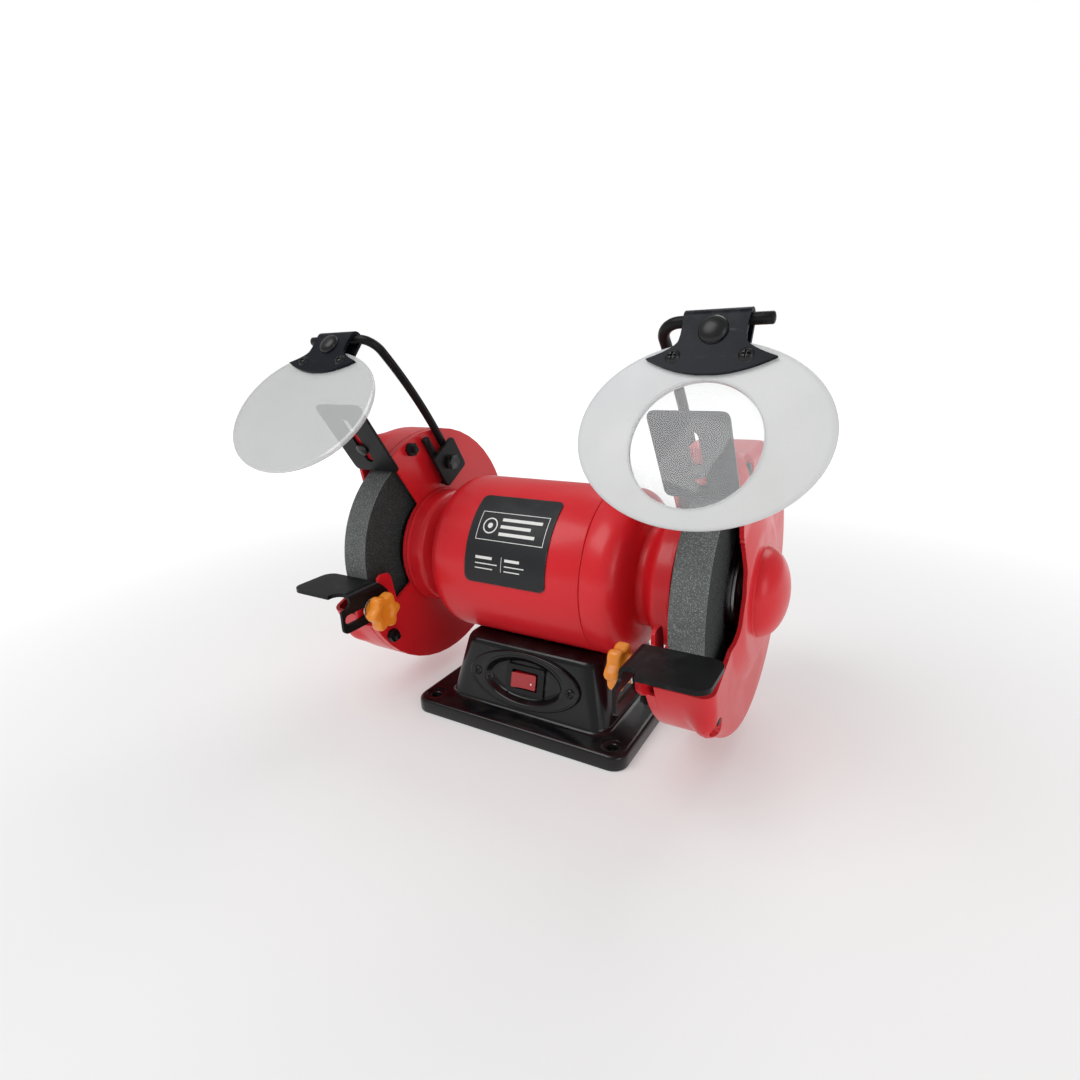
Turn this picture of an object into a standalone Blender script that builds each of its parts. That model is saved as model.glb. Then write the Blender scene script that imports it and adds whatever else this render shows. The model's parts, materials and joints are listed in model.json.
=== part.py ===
"""Six inch bench grinder: two guarded wheels on one motor shaft, on a cast switch base.

Metres, +Z up. The origin is the middle of the base's underside, +X runs along the
shaft to the right-hand wheel, and the user stands on the -Y side.
Every sub-part is one named object. Moving sub-parts have their origin on their axis.
"""
import math

import bmesh
import bpy
from mathutils import Vector

# ---------------------------------------------------------------- driving dimensions
SIDES = {"left": -1.0, "right": 1.0}
GAP = 0.0003                    # clearance between parts that touch
SHAFT_HEIGHT = 0.107

BASE_HALF_WIDTH = 0.083
BASE_HALF_DEPTH = 0.0705
BASE_PLATE_HEIGHT = 0.0107
BASE_CORNER = 0.010
BASE_EDGE_ROUND = 0.0025
PEDESTAL_FOOT_HALF_WIDTH = 0.0635
PEDESTAL_FOOT_HALF_DEPTH = 0.054
PEDESTAL_TOP_HALF_WIDTH = 0.0535
PEDESTAL_TOP_HALF_DEPTH = 0.043
PEDESTAL_TOP = SHAFT_HEIGHT - 0.0510
PEDESTAL_CORNER = 0.011
PEDESTAL_ROUND = 0.004
BASE_WALL = 0.0042
BASE_COVER_THICKNESS = 0.0020
BASE_COVER_LEDGE = 0.004
MOUNTING_HOLE_RADIUS = 0.0035
MOUNTING_SEAT_RADIUS = 0.0075
MOUNTING_SEAT_DEPTH = 0.0010
MOUNTING_HOLE_INSET = 0.0115
WIRE_HOLE_RADIUS = 0.006

SWITCH_CENTRE_HEIGHT = 0.0335
SWITCH_PLATE_HALF = (0.044, 0.0200)
SWITCH_PLATE_THICKNESS = 0.0025
SWITCH_DISH_HALF = (0.0305, 0.0158)
SWITCH_DISH_DEPTH = 0.0050
SWITCH_DISH_TAPER = 0.0025
SWITCH_SCREW_OFFSET = 0.0372
PLATE_SCREW_RADIUS = 0.0016
PLATE_SCREW_HEAD_RADIUS = 0.0032
PLATE_SCREW_HEAD_RISE = 0.0014
PLATE_SCREW_LENGTH = 0.008
SWITCH_BEZEL_HALF = (0.0152, 0.0098)
SWITCH_BEZEL_THICKNESS = 0.0018
SWITCH_BODY_HALF = (0.0130, 0.0083)
SWITCH_BODY_DEPTH = 0.020
SWITCH_POCKET_DEPTH = 0.010
ROCKER_HALF = (0.0098, 0.0060)
ROCKER_CLEARANCE = 0.0005
ROCKER_RISE = 0.0032
ROCKER_DEPTH = 0.0055
ROCKER_ROOT_TAPER = 0.0020
ROCKER_AXIS_DEPTH = 0.0010
ROCKER_OFF_ANGLE = math.radians(8.0)

GLAND_HEIGHT = 0.030
GLAND_RADIUS = 0.0085
GLAND_NECK_RADIUS = 0.0060
GLAND_BORE_RADIUS = 0.0036
GLAND_LENGTH = 0.014
CAPACITOR_RADIUS = 0.013
CAPACITOR_LENGTH = 0.052

MOTOR_RADIUS = 0.0571
MOTOR_WALL = 0.0048
MOTOR_HALF_LENGTH = 0.1017
MOTOR_SEAM = 0.048
MOTOR_SHOULDER_START = 0.058
MOTOR_SHOULDER_END = 0.0755
NECK_RADIUS = MOTOR_RADIUS - 0.0231
NECK_END = 0.0840
NECK_STEP_RADIUS = 0.040
NECK_FLANGE_RADIUS = 0.045
NECK_FLANGE_THICKNESS = 0.0060
NAMEPLATE_CENTRE = -0.0062
NAMEPLATE_WIDTH = 0.0622
NAMEPLATE_THICKNESS = 0.0006
NAMEPLATE_ANGLES = (math.radians(-1.0), math.radians(62.0))

STATOR_LENGTH = 0.056
STATOR_BORE_RADIUS = MOTOR_RADIUS - 0.0265
WINDING_OVERHANG = 0.016
WINDING_INNER_RADIUS = MOTOR_RADIUS - 0.0226
WINDING_OUTER_RADIUS = MOTOR_RADIUS - 0.0091
ROTOR_RADIUS = STATOR_BORE_RADIUS - 0.0006
ROTOR_END_RING = 0.006
SHAFT_RADIUS = 0.0090
BEARING_SEAT_RADIUS = 0.0075
BEARING_OUTER_RADIUS = 0.0175
BEARING_WIDTH = 0.011
BEARING_OUTER_FACE = 0.0958
END_WALL_INNER_FACE = 0.0973
SHAFT_HOLE_RADIUS = 0.0095
ARBOR_RADIUS = 0.00635
ARBOR_SHOULDER = 0.1060
SHAFT_HALF_LENGTH = 0.152

WHEEL_RADIUS = 0.076
WHEEL_WIDTH = 0.0205
WHEEL_INNER_FACE = 0.1118
FLANGE_RADIUS = 0.026
FLANGE_THICKNESS = 0.0045
NUT_ACROSS_FLATS = 0.019
NUT_THICKNESS = 0.010

SHEET = 0.0025                  # guard plate and band
GUARD_FACE = 0.1020             # motor side of the inner guard plate
GUARD_RADIUS = 0.091
GUARD_HUB_RADIUS = 0.045
GUARD_HOLE_RADIUS = 0.018
GUARD_LIP_END = 0.1080
MOUTH_TOP = math.radians(57.0)
MOUTH_BOTTOM = math.radians(-25.0)
COVER_FACE = 0.1410
COVER_EDGE_ROUND = 0.007
COVER_STEP_RADIUS = 0.044
COVER_STEP_HEIGHT = 0.0045
DOME_RADIUS = 0.028
DOME_TOP = 0.1610
COVER_BOLT_RADIUS = 0.085
COVER_BOLT_ANGLES = {"top": math.radians(70.0), "front": math.radians(-37.0)}
COVER_BOSS_RADII = {
    ("left", "top"): 0.0070,
    ("left", "front"): 0.0070,
    ("right", "top"): 0.0070,
    ("right", "front"): 0.0120,
}
COVER_BOSS_DEPTH = 0.0080
COVER_BOLT_SHANK_RADIUS = 0.0025
COVER_BOLT_HEAD_RADIUS = 0.0042
COVER_RECESS_RADIUS = 0.0050
COVER_RECESS_DEPTH = 0.0036

SPARK_FLANGE_RADII = (0.0870, 0.1130)
SPARK_FLANGE_X = (0.1120, 0.1350)
SPARK_FLANGE_SETBACK = 0.0003
SPARK_PLATE_THICKNESS = 0.0020
SPARK_PLATE_RADII = (0.0800, 0.1390)
SPARK_PLATE_X = (0.0985, 0.1400)
SPARK_CORNER = 0.004
SPARK_SLOT_RADII = (0.0920, 0.1240)
SPARK_SLOT_HALF_WIDTH = 0.0031
SPARK_SLOT_X = 0.1200
SPARK_SCREW_RADIAL = 0.1010
SPARK_SCREW_RADIUS = 0.0024
SPARK_SCREW_HEAD_RADIUS = 0.0046

REST_AXIS = (-0.086, SHAFT_HEIGHT - 0.023)  # Y and Z of the clamping stud
REST_SHEET = 0.0020
REST_PLATE_SHEET = 0.0028
REST_WELD_STEP = 0.0002
REST_PLATE_TOP = SHAFT_HEIGHT - 0.006
REST_PLATE_OUTER_X = 0.1475
REST_PLATE_BACK = {"left": -0.0772, "right": -0.0860}
REST_PLATE_DEPTH = 0.0350
REST_PLATE_CORNER = 0.006
REST_NOTCH_RADIUS = 0.0058
REST_LEG_BOTTOM = SHAFT_HEIGHT - 0.0325
REST_LEG_CORNER = 0.004
REST_LEG_TAIL = 0.0085
REST_SLOT_MARGIN = 0.0055
STUD_RADIUS = 0.0029
STUD_CLEARANCE = 0.0004
REST_WASHER_THICKNESS = 0.0012
REST_WASHER_RADIUS = 0.0080
KNOB_RADIUS = 0.0122
KNOB_LOBE = 0.0014
KNOB_LOBES = 6
KNOB_THICKNESS = 0.0085
KNOB_HUB_RADIUS = 0.0075
KNOB_HUB_LENGTH = 0.0053
STUD_END = 0.1080

SHIELD_PIVOT = (0.005, SHAFT_HEIGHT + 0.0655)  # Y and Z of the clamp bolt
ROD_RADIUS = 0.0030
ROD_PLANE = 0.0983
ROD_LEAN = math.radians(30.7)
ROD_HAIRPIN_RADIUS = 0.007
ROD_STUB = 0.028
ROD_STRAIGHT = 0.004
ROD_ARC_RADIUS = 0.385
ROD_ARC_ANGLE = math.radians(14.5)
ROD_BEND_RADIUS = 0.011
ROD_END_X = 0.1540
CLAMP_SHEET = 0.0028
CLAMP_SIZE = 0.028
CLAMP_BOLT_RADIUS = 0.0029
CLAMP_BOLT_FLATS = 0.010
CLAMP_BOLT_HEAD = 0.004
CLAMP_NUT_THICKNESS = 0.0032

SHIELD_CENTRE_X = 0.128
SHIELD_TILT = {"left": math.radians(41.4), "right": math.radians(29.5)}
SHIELD_HALF = (0.060, 0.0464)
SHIELD_THICKNESS = 0.0025
SHIELD_CENTRE_DROP = 0.058
MAGNIFIER_RADIUS = 0.0317
MAGNIFIER_DROP = 0.0634
MAGNIFIER_EDGE = 0.0008
MAGNIFIER_CROWN = 0.0016
BRACKET_SHEET = 0.0020
BRACKET_TOP_HALF = 0.0160
BRACKET_NECK_DROP = 0.0125
BRACKET_WING_HALF = 0.0310
BRACKET_WING_DROP = 0.0218
BRACKET_BOTTOM_DROP = 0.0300
BRACKET_BOLT_DROP = 0.0078
BRACKET_BOLT_RADIUS = 0.0024
BRACKET_BOLT_HEAD_RADIUS = 0.0072
BRACKET_BOLT_HEAD_RISE = 0.0032
BRACKET_TAIL_DROP = 0.0135

ROUND_STEPS = 40
SMALL_STEPS = 16
CORNER_STEPS = 3

BODY_RED = (0.66, 0.030, 0.035)
SATIN_BLACK = (0.018, 0.019, 0.021)
KNOB_ORANGE = (0.93, 0.33, 0.03)
STEEL = (0.55, 0.55, 0.56)
COPPER = (0.55, 0.22, 0.09)
WHEEL_GREY = (0.11, 0.12, 0.11)


# ---------------------------------------------------------------- general helpers
def clear_scene():
    """Remove what the scene holds."""
    for item in list(bpy.data.objects):
        bpy.data.objects.remove(item, do_unlink=True)


def material(name, colour, roughness, metallic=0.0, alpha=1.0):
    """Give the named plain material, made on first use."""
    found = bpy.data.materials.get(name)
    if found:
        return found
    made = bpy.data.materials.new(name)
    made.use_nodes = True
    shader = made.node_tree.nodes["Principled BSDF"]
    shader.inputs["Base Color"].default_value = (*colour, 1.0)
    shader.inputs["Roughness"].default_value = roughness
    shader.inputs["Metallic"].default_value = metallic
    shader.inputs["Alpha"].default_value = alpha
    return made


def red_paint():
    return material("red_paint", BODY_RED, 0.35)


def black_paint():
    return material("black_paint", SATIN_BLACK, 0.45)


def black_plastic():
    return material("black_plastic", SATIN_BLACK, 0.55)


def bright_steel():
    return material("bright_steel", STEEL, 0.3, 1.0)


def clear_plastic():
    return material("clear_plastic", (0.8, 0.82, 0.84), 0.08, 0.0, 0.35)


def empty(name, location, tilt=0.0, parent=None):
    """A guide that carries the parts of one moving group; tilt turns it about X."""
    guide = bpy.data.objects.new(name, None)
    bpy.context.scene.collection.objects.link(guide)
    guide.location = location
    guide.rotation_euler = (tilt, 0.0, 0.0)
    guide.parent = parent
    return guide


def solid(name, mesh_data, finish, location=(0, 0, 0), tilt=0.0, parent=None, smooth=35.0):
    """Close a bmesh into a named object with its normals outwards."""
    bmesh.ops.remove_doubles(mesh_data, verts=mesh_data.verts, dist=1e-7)
    bmesh.ops.connect_verts_nonplanar(mesh_data, faces=mesh_data.faces, angle_limit=1e-4)
    bmesh.ops.recalc_face_normals(mesh_data, faces=mesh_data.faces)
    mesh = bpy.data.meshes.new(name)
    mesh_data.to_mesh(mesh)
    mesh_data.free()
    mesh.shade_smooth()
    mesh.set_sharp_from_angle(angle=math.radians(smooth))
    mesh.materials.append(finish)
    made = bpy.data.objects.new(name, mesh)
    bpy.context.scene.collection.objects.link(made)
    made.location = location
    made.rotation_euler = (tilt, 0.0, 0.0)
    made.parent = parent
    return made


def tool(name, mesh_data, location=(0, 0, 0), tilt=0.0, parent=None):
    """A hidden solid for a Boolean modifier."""
    made = solid(name, mesh_data, black_paint(), location, tilt, parent)
    made.hide_render = True
    made.display_type = "WIRE"
    return made


def boolean(target, operand, operation):
    """Cut or join with the exact solver."""
    change = target.modifiers.new(operand.name, "BOOLEAN")
    change.solver = "EXACT"
    change.operation = operation
    change.object = operand


def cut(target, operand):
    boolean(target, operand, "DIFFERENCE")


def join(target, operand):
    boolean(target, operand, "UNION")


def loft(rings, closed=False):
    """Skin equal rings of points; open lofts get a flat face at each end."""
    data = bmesh.new()
    made = [[data.verts.new(point) for point in ring] for ring in rings]
    count = len(made[0])
    pairs = list(zip(made, made[1:]))
    if closed:
        pairs.append((made[-1], made[0]))
    for near, far in pairs:
        for i in range(count):
            j = (i + 1) % count
            data.faces.new((near[i], near[j], far[j], far[i]))
    if not closed:
        data.faces.new(made[0])
        data.faces.new(made[-1])
    return data


def circle(radius, count=SMALL_STEPS, centre=(0.0, 0.0), start=0.0):
    """Points round a circle; the radius may be a function of the angle."""
    points = []
    for i in range(count):
        angle = start + math.tau * i / count
        reach = radius(angle) if callable(radius) else radius
        points.append((centre[0] + reach * math.cos(angle), centre[1] + reach * math.sin(angle)))
    return points


def hexagon(across_flats):
    """Radius of a hexagon as a function of the angle, for rings of 12 points or more."""
    def reach(angle):
        within = (angle % (math.pi / 3)) - math.pi / 6
        return across_flats / 2 / math.cos(within)
    return reach


def arc(radius, start, end, count, centre=(0.0, 0.0)):
    """Points along an arc, both ends included."""
    points = []
    for i in range(count + 1):
        angle = start + (end - start) * i / count
        points.append((centre[0] + radius * math.cos(angle), centre[1] + radius * math.sin(angle)))
    return points


def rounded_rectangle(half_u, half_v, corner, centre=(0.0, 0.0), steps=CORNER_STEPS):
    """Outline of a rectangle with round corners."""
    points = []
    for turn, (su, sv) in enumerate(((1, 1), (-1, 1), (-1, -1), (1, -1))):
        middle = (centre[0] + su * (half_u - corner), centre[1] + sv * (half_v - corner))
        first = turn * math.pi / 2
        points += arc(corner, first, first + math.pi / 2, steps, middle)
    return points


def ellipse(half_u, half_v, count=32):
    """Outline of an ellipse."""
    return [(half_u * u, half_v * v) for u, v in circle(1.0, count)]


def stadium(start, end, radius, count=SMALL_STEPS):
    """Outline of a slot from one end centre to the other along the first axis."""
    half = count // 2
    return (arc(radius, math.pi / 2, 3 * math.pi / 2, half, (start, 0.0))
            + arc(radius, -math.pi / 2, math.pi / 2, half, (end, 0.0)))


def shift(points, du, dv):
    """Move an outline."""
    return [(u + du, v + dv) for u, v in points]


PLANES = {
    "YZ": lambda u, v, w: (w, u, v),
    "XZ": lambda u, v, w: (u, w, v),
    "XY": lambda u, v, w: (u, v, w),
}


def slab(outline, low, high, plane="YZ", holes=()):
    """A plate of the outline with its holes, from low to high across the plane."""
    place = PLANES[plane]
    data = bmesh.new()
    edges = []
    for loop in (outline, *holes):
        ring = [data.verts.new(place(u, v, low)) for u, v in loop]
        edges += [data.edges.new((ring[i - 1], ring[i])) for i in range(len(ring))]
    bmesh.ops.triangle_fill(data, use_beauty=True, use_dissolve=False, edges=edges)
    grown = bmesh.ops.extrude_face_region(data, geom=list(data.faces), use_keep_orig=True)
    moved = [item for item in grown["geom"] if isinstance(item, bmesh.types.BMVert)]
    offset = Vector(place(0.0, 0.0, high)) - Vector(place(0.0, 0.0, low))
    bmesh.ops.translate(data, verts=moved, vec=offset)
    return data


def revolve(profile, steps=ROUND_STEPS, closed=True):
    """Spin a profile of (x, radius) points round the X axis.

    A closed profile is a ring; an open one starts and ends on the axis.
    """
    data = bmesh.new()
    verts = [data.verts.new((x, 0.0, radius)) for x, radius in profile]
    edges = [data.edges.new(pair) for pair in zip(verts, verts[1:])]
    if closed:
        edges.append(data.edges.new((verts[-1], verts[0])))
    bmesh.ops.spin(data, geom=verts + edges, cent=(0, 0, 0), axis=(1, 0, 0),
                   angle=math.tau, steps=steps, use_merge=True)
    return data


def tube_profile(inner, outer, low, high):
    """Profile of a plain ring for revolve."""
    return [(low, inner), (high, inner), (high, outer), (low, outer)]


def polar(radius, angle):
    """Y and Z of a point about the shaft, the angle measured up from the front."""
    return (-radius * math.cos(angle), radius * math.sin(angle))


def front_arc(radius, start, end, count):
    """Arc about the shaft with the angles measured up from the front."""
    return [polar(radius, start + (end - start) * i / count) for i in range(count + 1)]


def mirrored(side, pairs):
    """Flip the x of profile points for the left side."""
    return [(side * x, radius) for x, radius in pairs]


def axial_rings(side, steps, *stations):
    """Rings about X; each station is an x and a radius or radius function."""
    return [[(side * x, u, v) for u, v in circle(radius, steps)] for x, radius in stations]


# ---------------------------------------------------------------- base
def pedestal_face_lean():
    """Angle of the pedestal's front face from upright."""
    rise = PEDESTAL_TOP - BASE_PLATE_HEIGHT
    return math.atan2(PEDESTAL_FOOT_HALF_DEPTH - PEDESTAL_TOP_HALF_DEPTH, rise)


def pedestal_half_depth(height):
    """Half depth of the pedestal at a height."""
    return PEDESTAL_FOOT_HALF_DEPTH - (height - BASE_PLATE_HEIGHT) * math.tan(pedestal_face_lean())


def base_ring(half_x, half_y, corner, z):
    return [(u, v, z) for u, v in rounded_rectangle(half_x, half_y, corner)]


def motor_gap_solid(name, radius):
    """Cylinder along the motor, for cutting what carries it."""
    half = PEDESTAL_FOOT_HALF_WIDTH + BASE_WALL
    profile = [(-half, 0.0), (-half, radius), (half, radius), (half, 0.0)]
    return tool(name, revolve(profile, closed=False), (0, 0, SHAFT_HEIGHT))


def cover_half():
    """Half width and half depth of the sheet that closes the base from below."""
    return (PEDESTAL_FOOT_HALF_WIDTH - BASE_WALL + BASE_COVER_LEDGE,
            PEDESTAL_FOOT_HALF_DEPTH - BASE_WALL + BASE_COVER_LEDGE)


def build_base():
    """Cast base: a flat foot with a hollow pedestal, open below."""
    seat_x, seat_y = cover_half()
    roof = SHAFT_HEIGHT - MOTOR_RADIUS - BASE_WALL
    foot = (PEDESTAL_FOOT_HALF_WIDTH, PEDESTAL_FOOT_HALF_DEPTH)
    top = (PEDESTAL_TOP_HALF_WIDTH, PEDESTAL_TOP_HALF_DEPTH)
    inner = PEDESTAL_CORNER - BASE_WALL
    ledge = BASE_COVER_THICKNESS + GAP
    rings = [
        base_ring(top[0] - BASE_WALL, top[1] - BASE_WALL, inner, roof),
        base_ring(foot[0] - BASE_WALL, foot[1] - BASE_WALL, inner, BASE_PLATE_HEIGHT),
        base_ring(foot[0] - BASE_WALL, foot[1] - BASE_WALL, inner, ledge),
        base_ring(seat_x + GAP, seat_y + GAP, inner, ledge),
        base_ring(seat_x + GAP, seat_y + GAP, inner, 0.0),
        base_ring(BASE_HALF_WIDTH, BASE_HALF_DEPTH, BASE_CORNER, 0.0),
        base_ring(BASE_HALF_WIDTH, BASE_HALF_DEPTH, BASE_CORNER, BASE_PLATE_HEIGHT - BASE_EDGE_ROUND),
        base_ring(BASE_HALF_WIDTH - BASE_EDGE_ROUND, BASE_HALF_DEPTH - BASE_EDGE_ROUND,
                  BASE_CORNER - BASE_EDGE_ROUND, BASE_PLATE_HEIGHT),
        base_ring(foot[0], foot[1], PEDESTAL_CORNER, BASE_PLATE_HEIGHT),
        base_ring(top[0], top[1], PEDESTAL_CORNER, PEDESTAL_TOP - PEDESTAL_ROUND),
        base_ring(top[0] - PEDESTAL_ROUND, top[1] - PEDESTAL_ROUND,
                  PEDESTAL_CORNER - PEDESTAL_ROUND, PEDESTAL_TOP),
    ]
    base = solid("base_housing", loft(rings), black_paint())
    cut(base, motor_gap_solid("tool_motor_saddle", MOTOR_RADIUS + GAP))

    hole_x = BASE_HALF_WIDTH - MOUNTING_HOLE_INSET
    hole_y = BASE_HALF_DEPTH - MOUNTING_HOLE_INSET
    seat = BASE_PLATE_HEIGHT - MOUNTING_SEAT_DEPTH
    over = BASE_PLATE_HEIGHT + BASE_WALL
    for number, (sx, sy) in enumerate(((1, 1), (-1, 1), (-1, -1), (1, -1))):
        rings = [[(sx * hole_x + u, sy * hole_y + v, z) for u, v in circle(radius)]
                 for z, radius in ((-BASE_WALL, MOUNTING_HOLE_RADIUS), (seat, MOUNTING_HOLE_RADIUS),
                                   (seat, MOUNTING_SEAT_RADIUS), (over, MOUNTING_SEAT_RADIUS))]
        cut(base, tool(f"tool_mounting_hole_{number}", loft(rings)))

    window = ellipse(SWITCH_DISH_HALF[0] + 2 * BASE_WALL / 3, SWITCH_DISH_HALF[1] + BASE_WALL / 2)
    cut(base, tool("tool_switch_window", slab(window, -0.01, 2 * BASE_WALL, "XZ"),
                   switch_place(), -pedestal_face_lean()))
    for offset in (-SWITCH_SCREW_OFFSET, SWITCH_SCREW_OFFSET):
        pilot = shift(circle(PLATE_SCREW_RADIUS + GAP, 12), offset, 0.0)
        cut(base, tool(f"tool_switch_pilot_{offset:+.3f}", slab(pilot, -0.01, 2 * BASE_WALL, "XZ"),
                       switch_place(), -pedestal_face_lean()))
    gland = slab(circle(GLAND_NECK_RADIUS + GAP), -2 * BASE_WALL, 0.01, "XZ")
    cut(base, tool("tool_gland_hole", gland, gland_place(), pedestal_face_lean()))
    wires = slab(circle(WIRE_HOLE_RADIUS), roof - BASE_WALL, SHAFT_HEIGHT / 2, "XY")
    cut(base, tool("tool_wire_hole", wires))
    return base


def build_bottom_cover():
    """Sheet cover, flush with the underside."""
    seat_x, seat_y = cover_half()
    outline = rounded_rectangle(seat_x, seat_y, PEDESTAL_CORNER - BASE_WALL)
    solid("bottom_cover", slab(outline, 0.0, BASE_COVER_THICKNESS, "XY"), black_paint())


def switch_place():
    """Centre of the switch plate on the pedestal's front face."""
    return (0.0, -pedestal_half_depth(SWITCH_CENTRE_HEIGHT), SWITCH_CENTRE_HEIGHT)


def gland_place():
    """Centre of the cord gland on the pedestal's back face."""
    return (0.0, pedestal_half_depth(GLAND_HEIGHT), GLAND_HEIGHT)


def build_switch():
    """Oval dished plate, rocker switch and the plate's two screws."""
    panel = empty("switch_panel", switch_place(), -pedestal_face_lean())
    dish_x, dish_y = SWITCH_DISH_HALF
    floor_x = dish_x - SWITCH_DISH_TAPER
    floor_y = dish_y - SWITCH_DISH_TAPER
    back_wall = 0.0015
    floor = SWITCH_DISH_DEPTH - SWITCH_PLATE_THICKNESS
    count = 32

    def oval(half_u, half_v, depth):
        return [(u, depth, v) for u, v in ellipse(half_u, half_v, count)]

    hole = rounded_rectangle(SWITCH_BODY_HALF[0] + GAP, SWITCH_BODY_HALF[1] + GAP, 0.001,
                             steps=count // 4 - 1)

    def opening(depth):
        return [(u, depth, v) for u, v in hole]

    plate_x, plate_y = SWITCH_PLATE_HALF
    edge = 0.0010
    front = -SWITCH_PLATE_THICKNESS - GAP
    rings = [
        oval(plate_x, plate_y, -GAP),
        oval(plate_x, plate_y, front + edge),
        oval(plate_x - edge, plate_y - edge, front),
        oval(dish_x, dish_y, front),
        oval(floor_x, floor_y, floor),
        opening(floor),
        opening(floor + back_wall),
        oval(floor_x + back_wall, floor_y + back_wall, floor + back_wall),
        oval(dish_x + back_wall, dish_y + back_wall, -GAP),
    ]
    plate = solid("switch_plate", loft(rings, closed=True), black_plastic(), parent=panel)

    bezel = floor - GAP
    body_back = bezel + SWITCH_BODY_DEPTH
    pocket_x = ROCKER_HALF[0] + ROCKER_CLEARANCE
    pocket_y = ROCKER_HALF[1] + ROCKER_CLEARANCE

    def box_ring(half_u, half_v, depth):
        return [(u, depth, v) for u, v in rounded_rectangle(half_u, half_v, 0.001, steps=2)]

    front = bezel - SWITCH_BEZEL_THICKNESS
    rings = [
        box_ring(pocket_x, pocket_y, front + SWITCH_POCKET_DEPTH),
        box_ring(pocket_x, pocket_y, front),
        box_ring(*SWITCH_BEZEL_HALF, front),
        box_ring(*SWITCH_BEZEL_HALF, bezel),
        box_ring(*SWITCH_BODY_HALF, bezel),
        box_ring(*SWITCH_BODY_HALF, body_back),
    ]
    solid("switch_body", loft(rings), black_plastic(), parent=panel)

    # The rocker's axis lies a little behind the bezel's face, and it is stored switched off.
    reach_x, reach_z = ROCKER_HALF
    root_x = reach_x - ROCKER_ROOT_TAPER
    crown = [(-reach_x, -ROCKER_RISE), (-root_x, ROCKER_DEPTH), (root_x, ROCKER_DEPTH),
             (reach_x, -ROCKER_RISE), (0.0, -ROCKER_RISE + 0.0012)]
    rocker = solid("switch_rocker", slab(crown, -reach_z, reach_z, "XY"),
                   material("switch_red", (0.75, 0.02, 0.02), 0.3), (0.0, front + ROCKER_AXIS_DEPTH, 0.0),
                   parent=panel)
    rocker.rotation_euler = (0.0, 0.0, ROCKER_OFF_ANGLE)

    for name, offset in (("left", -SWITCH_SCREW_OFFSET), ("right", SWITCH_SCREW_OFFSET)):
        base_y = -SWITCH_PLATE_THICKNESS - 2 * GAP
        stations = ((base_y - PLATE_SCREW_HEAD_RISE, 0.6 * PLATE_SCREW_HEAD_RADIUS),
                    (base_y - 0.5 * PLATE_SCREW_HEAD_RISE, PLATE_SCREW_HEAD_RADIUS),
                    (base_y, PLATE_SCREW_HEAD_RADIUS),
                    (base_y, PLATE_SCREW_RADIUS),
                    (PLATE_SCREW_LENGTH, PLATE_SCREW_RADIUS))
        rings = [[(offset + u, y, v) for u, v in circle(radius, 12)] for y, radius in stations]
        solid(f"switch_plate_screw_{name}", loft(rings), black_paint(), parent=panel)
        hole = shift(circle(PLATE_SCREW_RADIUS + GAP, 12), offset, 0.0)
        cut(plate, tool(f"tool_plate_hole_{name}", slab(hole, -0.01, 0.01, "XZ"), parent=panel))


def build_base_fittings():
    """Cord gland in the back wall and run capacitor inside the pedestal."""
    lean = pedestal_face_lean()
    inside = BASE_WALL + 0.003
    stations = ((-inside, GLAND_BORE_RADIUS), (-inside, GLAND_NECK_RADIUS),
                (GAP, GLAND_NECK_RADIUS), (GAP, GLAND_RADIUS),
                (GLAND_LENGTH, 0.75 * GLAND_RADIUS), (GLAND_LENGTH, GLAND_BORE_RADIUS))
    rings = [[(u, y, v) for u, v in circle(radius)] for y, radius in stations]
    solid("cord_gland", loft(rings, closed=True), material("black_rubber", SATIN_BLACK, 0.8),
          gland_place(), lean)
    half = CAPACITOR_LENGTH / 2
    edge = 0.0015
    rings = axial_rings(1.0, 24, (-half, CAPACITOR_RADIUS - edge), (-half + edge, CAPACITOR_RADIUS),
                        (half - edge, CAPACITOR_RADIUS), (half, CAPACITOR_RADIUS - edge))
    resting = BASE_COVER_THICKNESS + GAP + CAPACITOR_RADIUS
    solid("run_capacitor", loft(rings), bright_steel(), (0.0, 0.012, resting))


# ---------------------------------------------------------------- motor
def motor_end_outer(side):
    """Outside of one motor end from the barrel to the guard flange."""
    shoulder = []
    run = MOTOR_SHOULDER_END - MOTOR_SHOULDER_START
    drop = MOTOR_RADIUS - NECK_RADIUS
    for i in range(5):
        share = i / 4
        turn = share * math.pi / 2
        shoulder.append((MOTOR_SHOULDER_START + run * (1 - (1 - math.sin(turn)) ** 1.15),
                         MOTOR_RADIUS - drop * (1 - math.cos(turn)) ** 1.1))
    step = (MOTOR_HALF_LENGTH - NECK_FLANGE_THICKNESS)
    flare = [(NECK_END, NECK_RADIUS), (NECK_END + 0.004, NECK_STEP_RADIUS),
             (step - 0.002, NECK_STEP_RADIUS), (step + 0.0005, NECK_FLANGE_RADIUS),
             (MOTOR_HALF_LENGTH, NECK_FLANGE_RADIUS)]
    return mirrored(side, shoulder + flare)


def motor_end_inner(side):
    """Inside of one motor end from the shaft hole back to the bore."""
    pocket = BEARING_OUTER_RADIUS + GAP
    bore = MOTOR_RADIUS - MOTOR_WALL
    pocket_start = BEARING_OUTER_FACE - BEARING_WIDTH - 0.008
    return mirrored(side, [
        (MOTOR_HALF_LENGTH, SHAFT_HOLE_RADIUS), (END_WALL_INNER_FACE, SHAFT_HOLE_RADIUS),
        (END_WALL_INNER_FACE, pocket), (pocket_start, pocket), (pocket_start, pocket + 0.007),
        (MOTOR_SHOULDER_START + 0.010, NECK_RADIUS), (MOTOR_SHOULDER_START + 0.002, bore - 0.006),
        (MOTOR_SHOULDER_START - 0.003, bore)])


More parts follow.
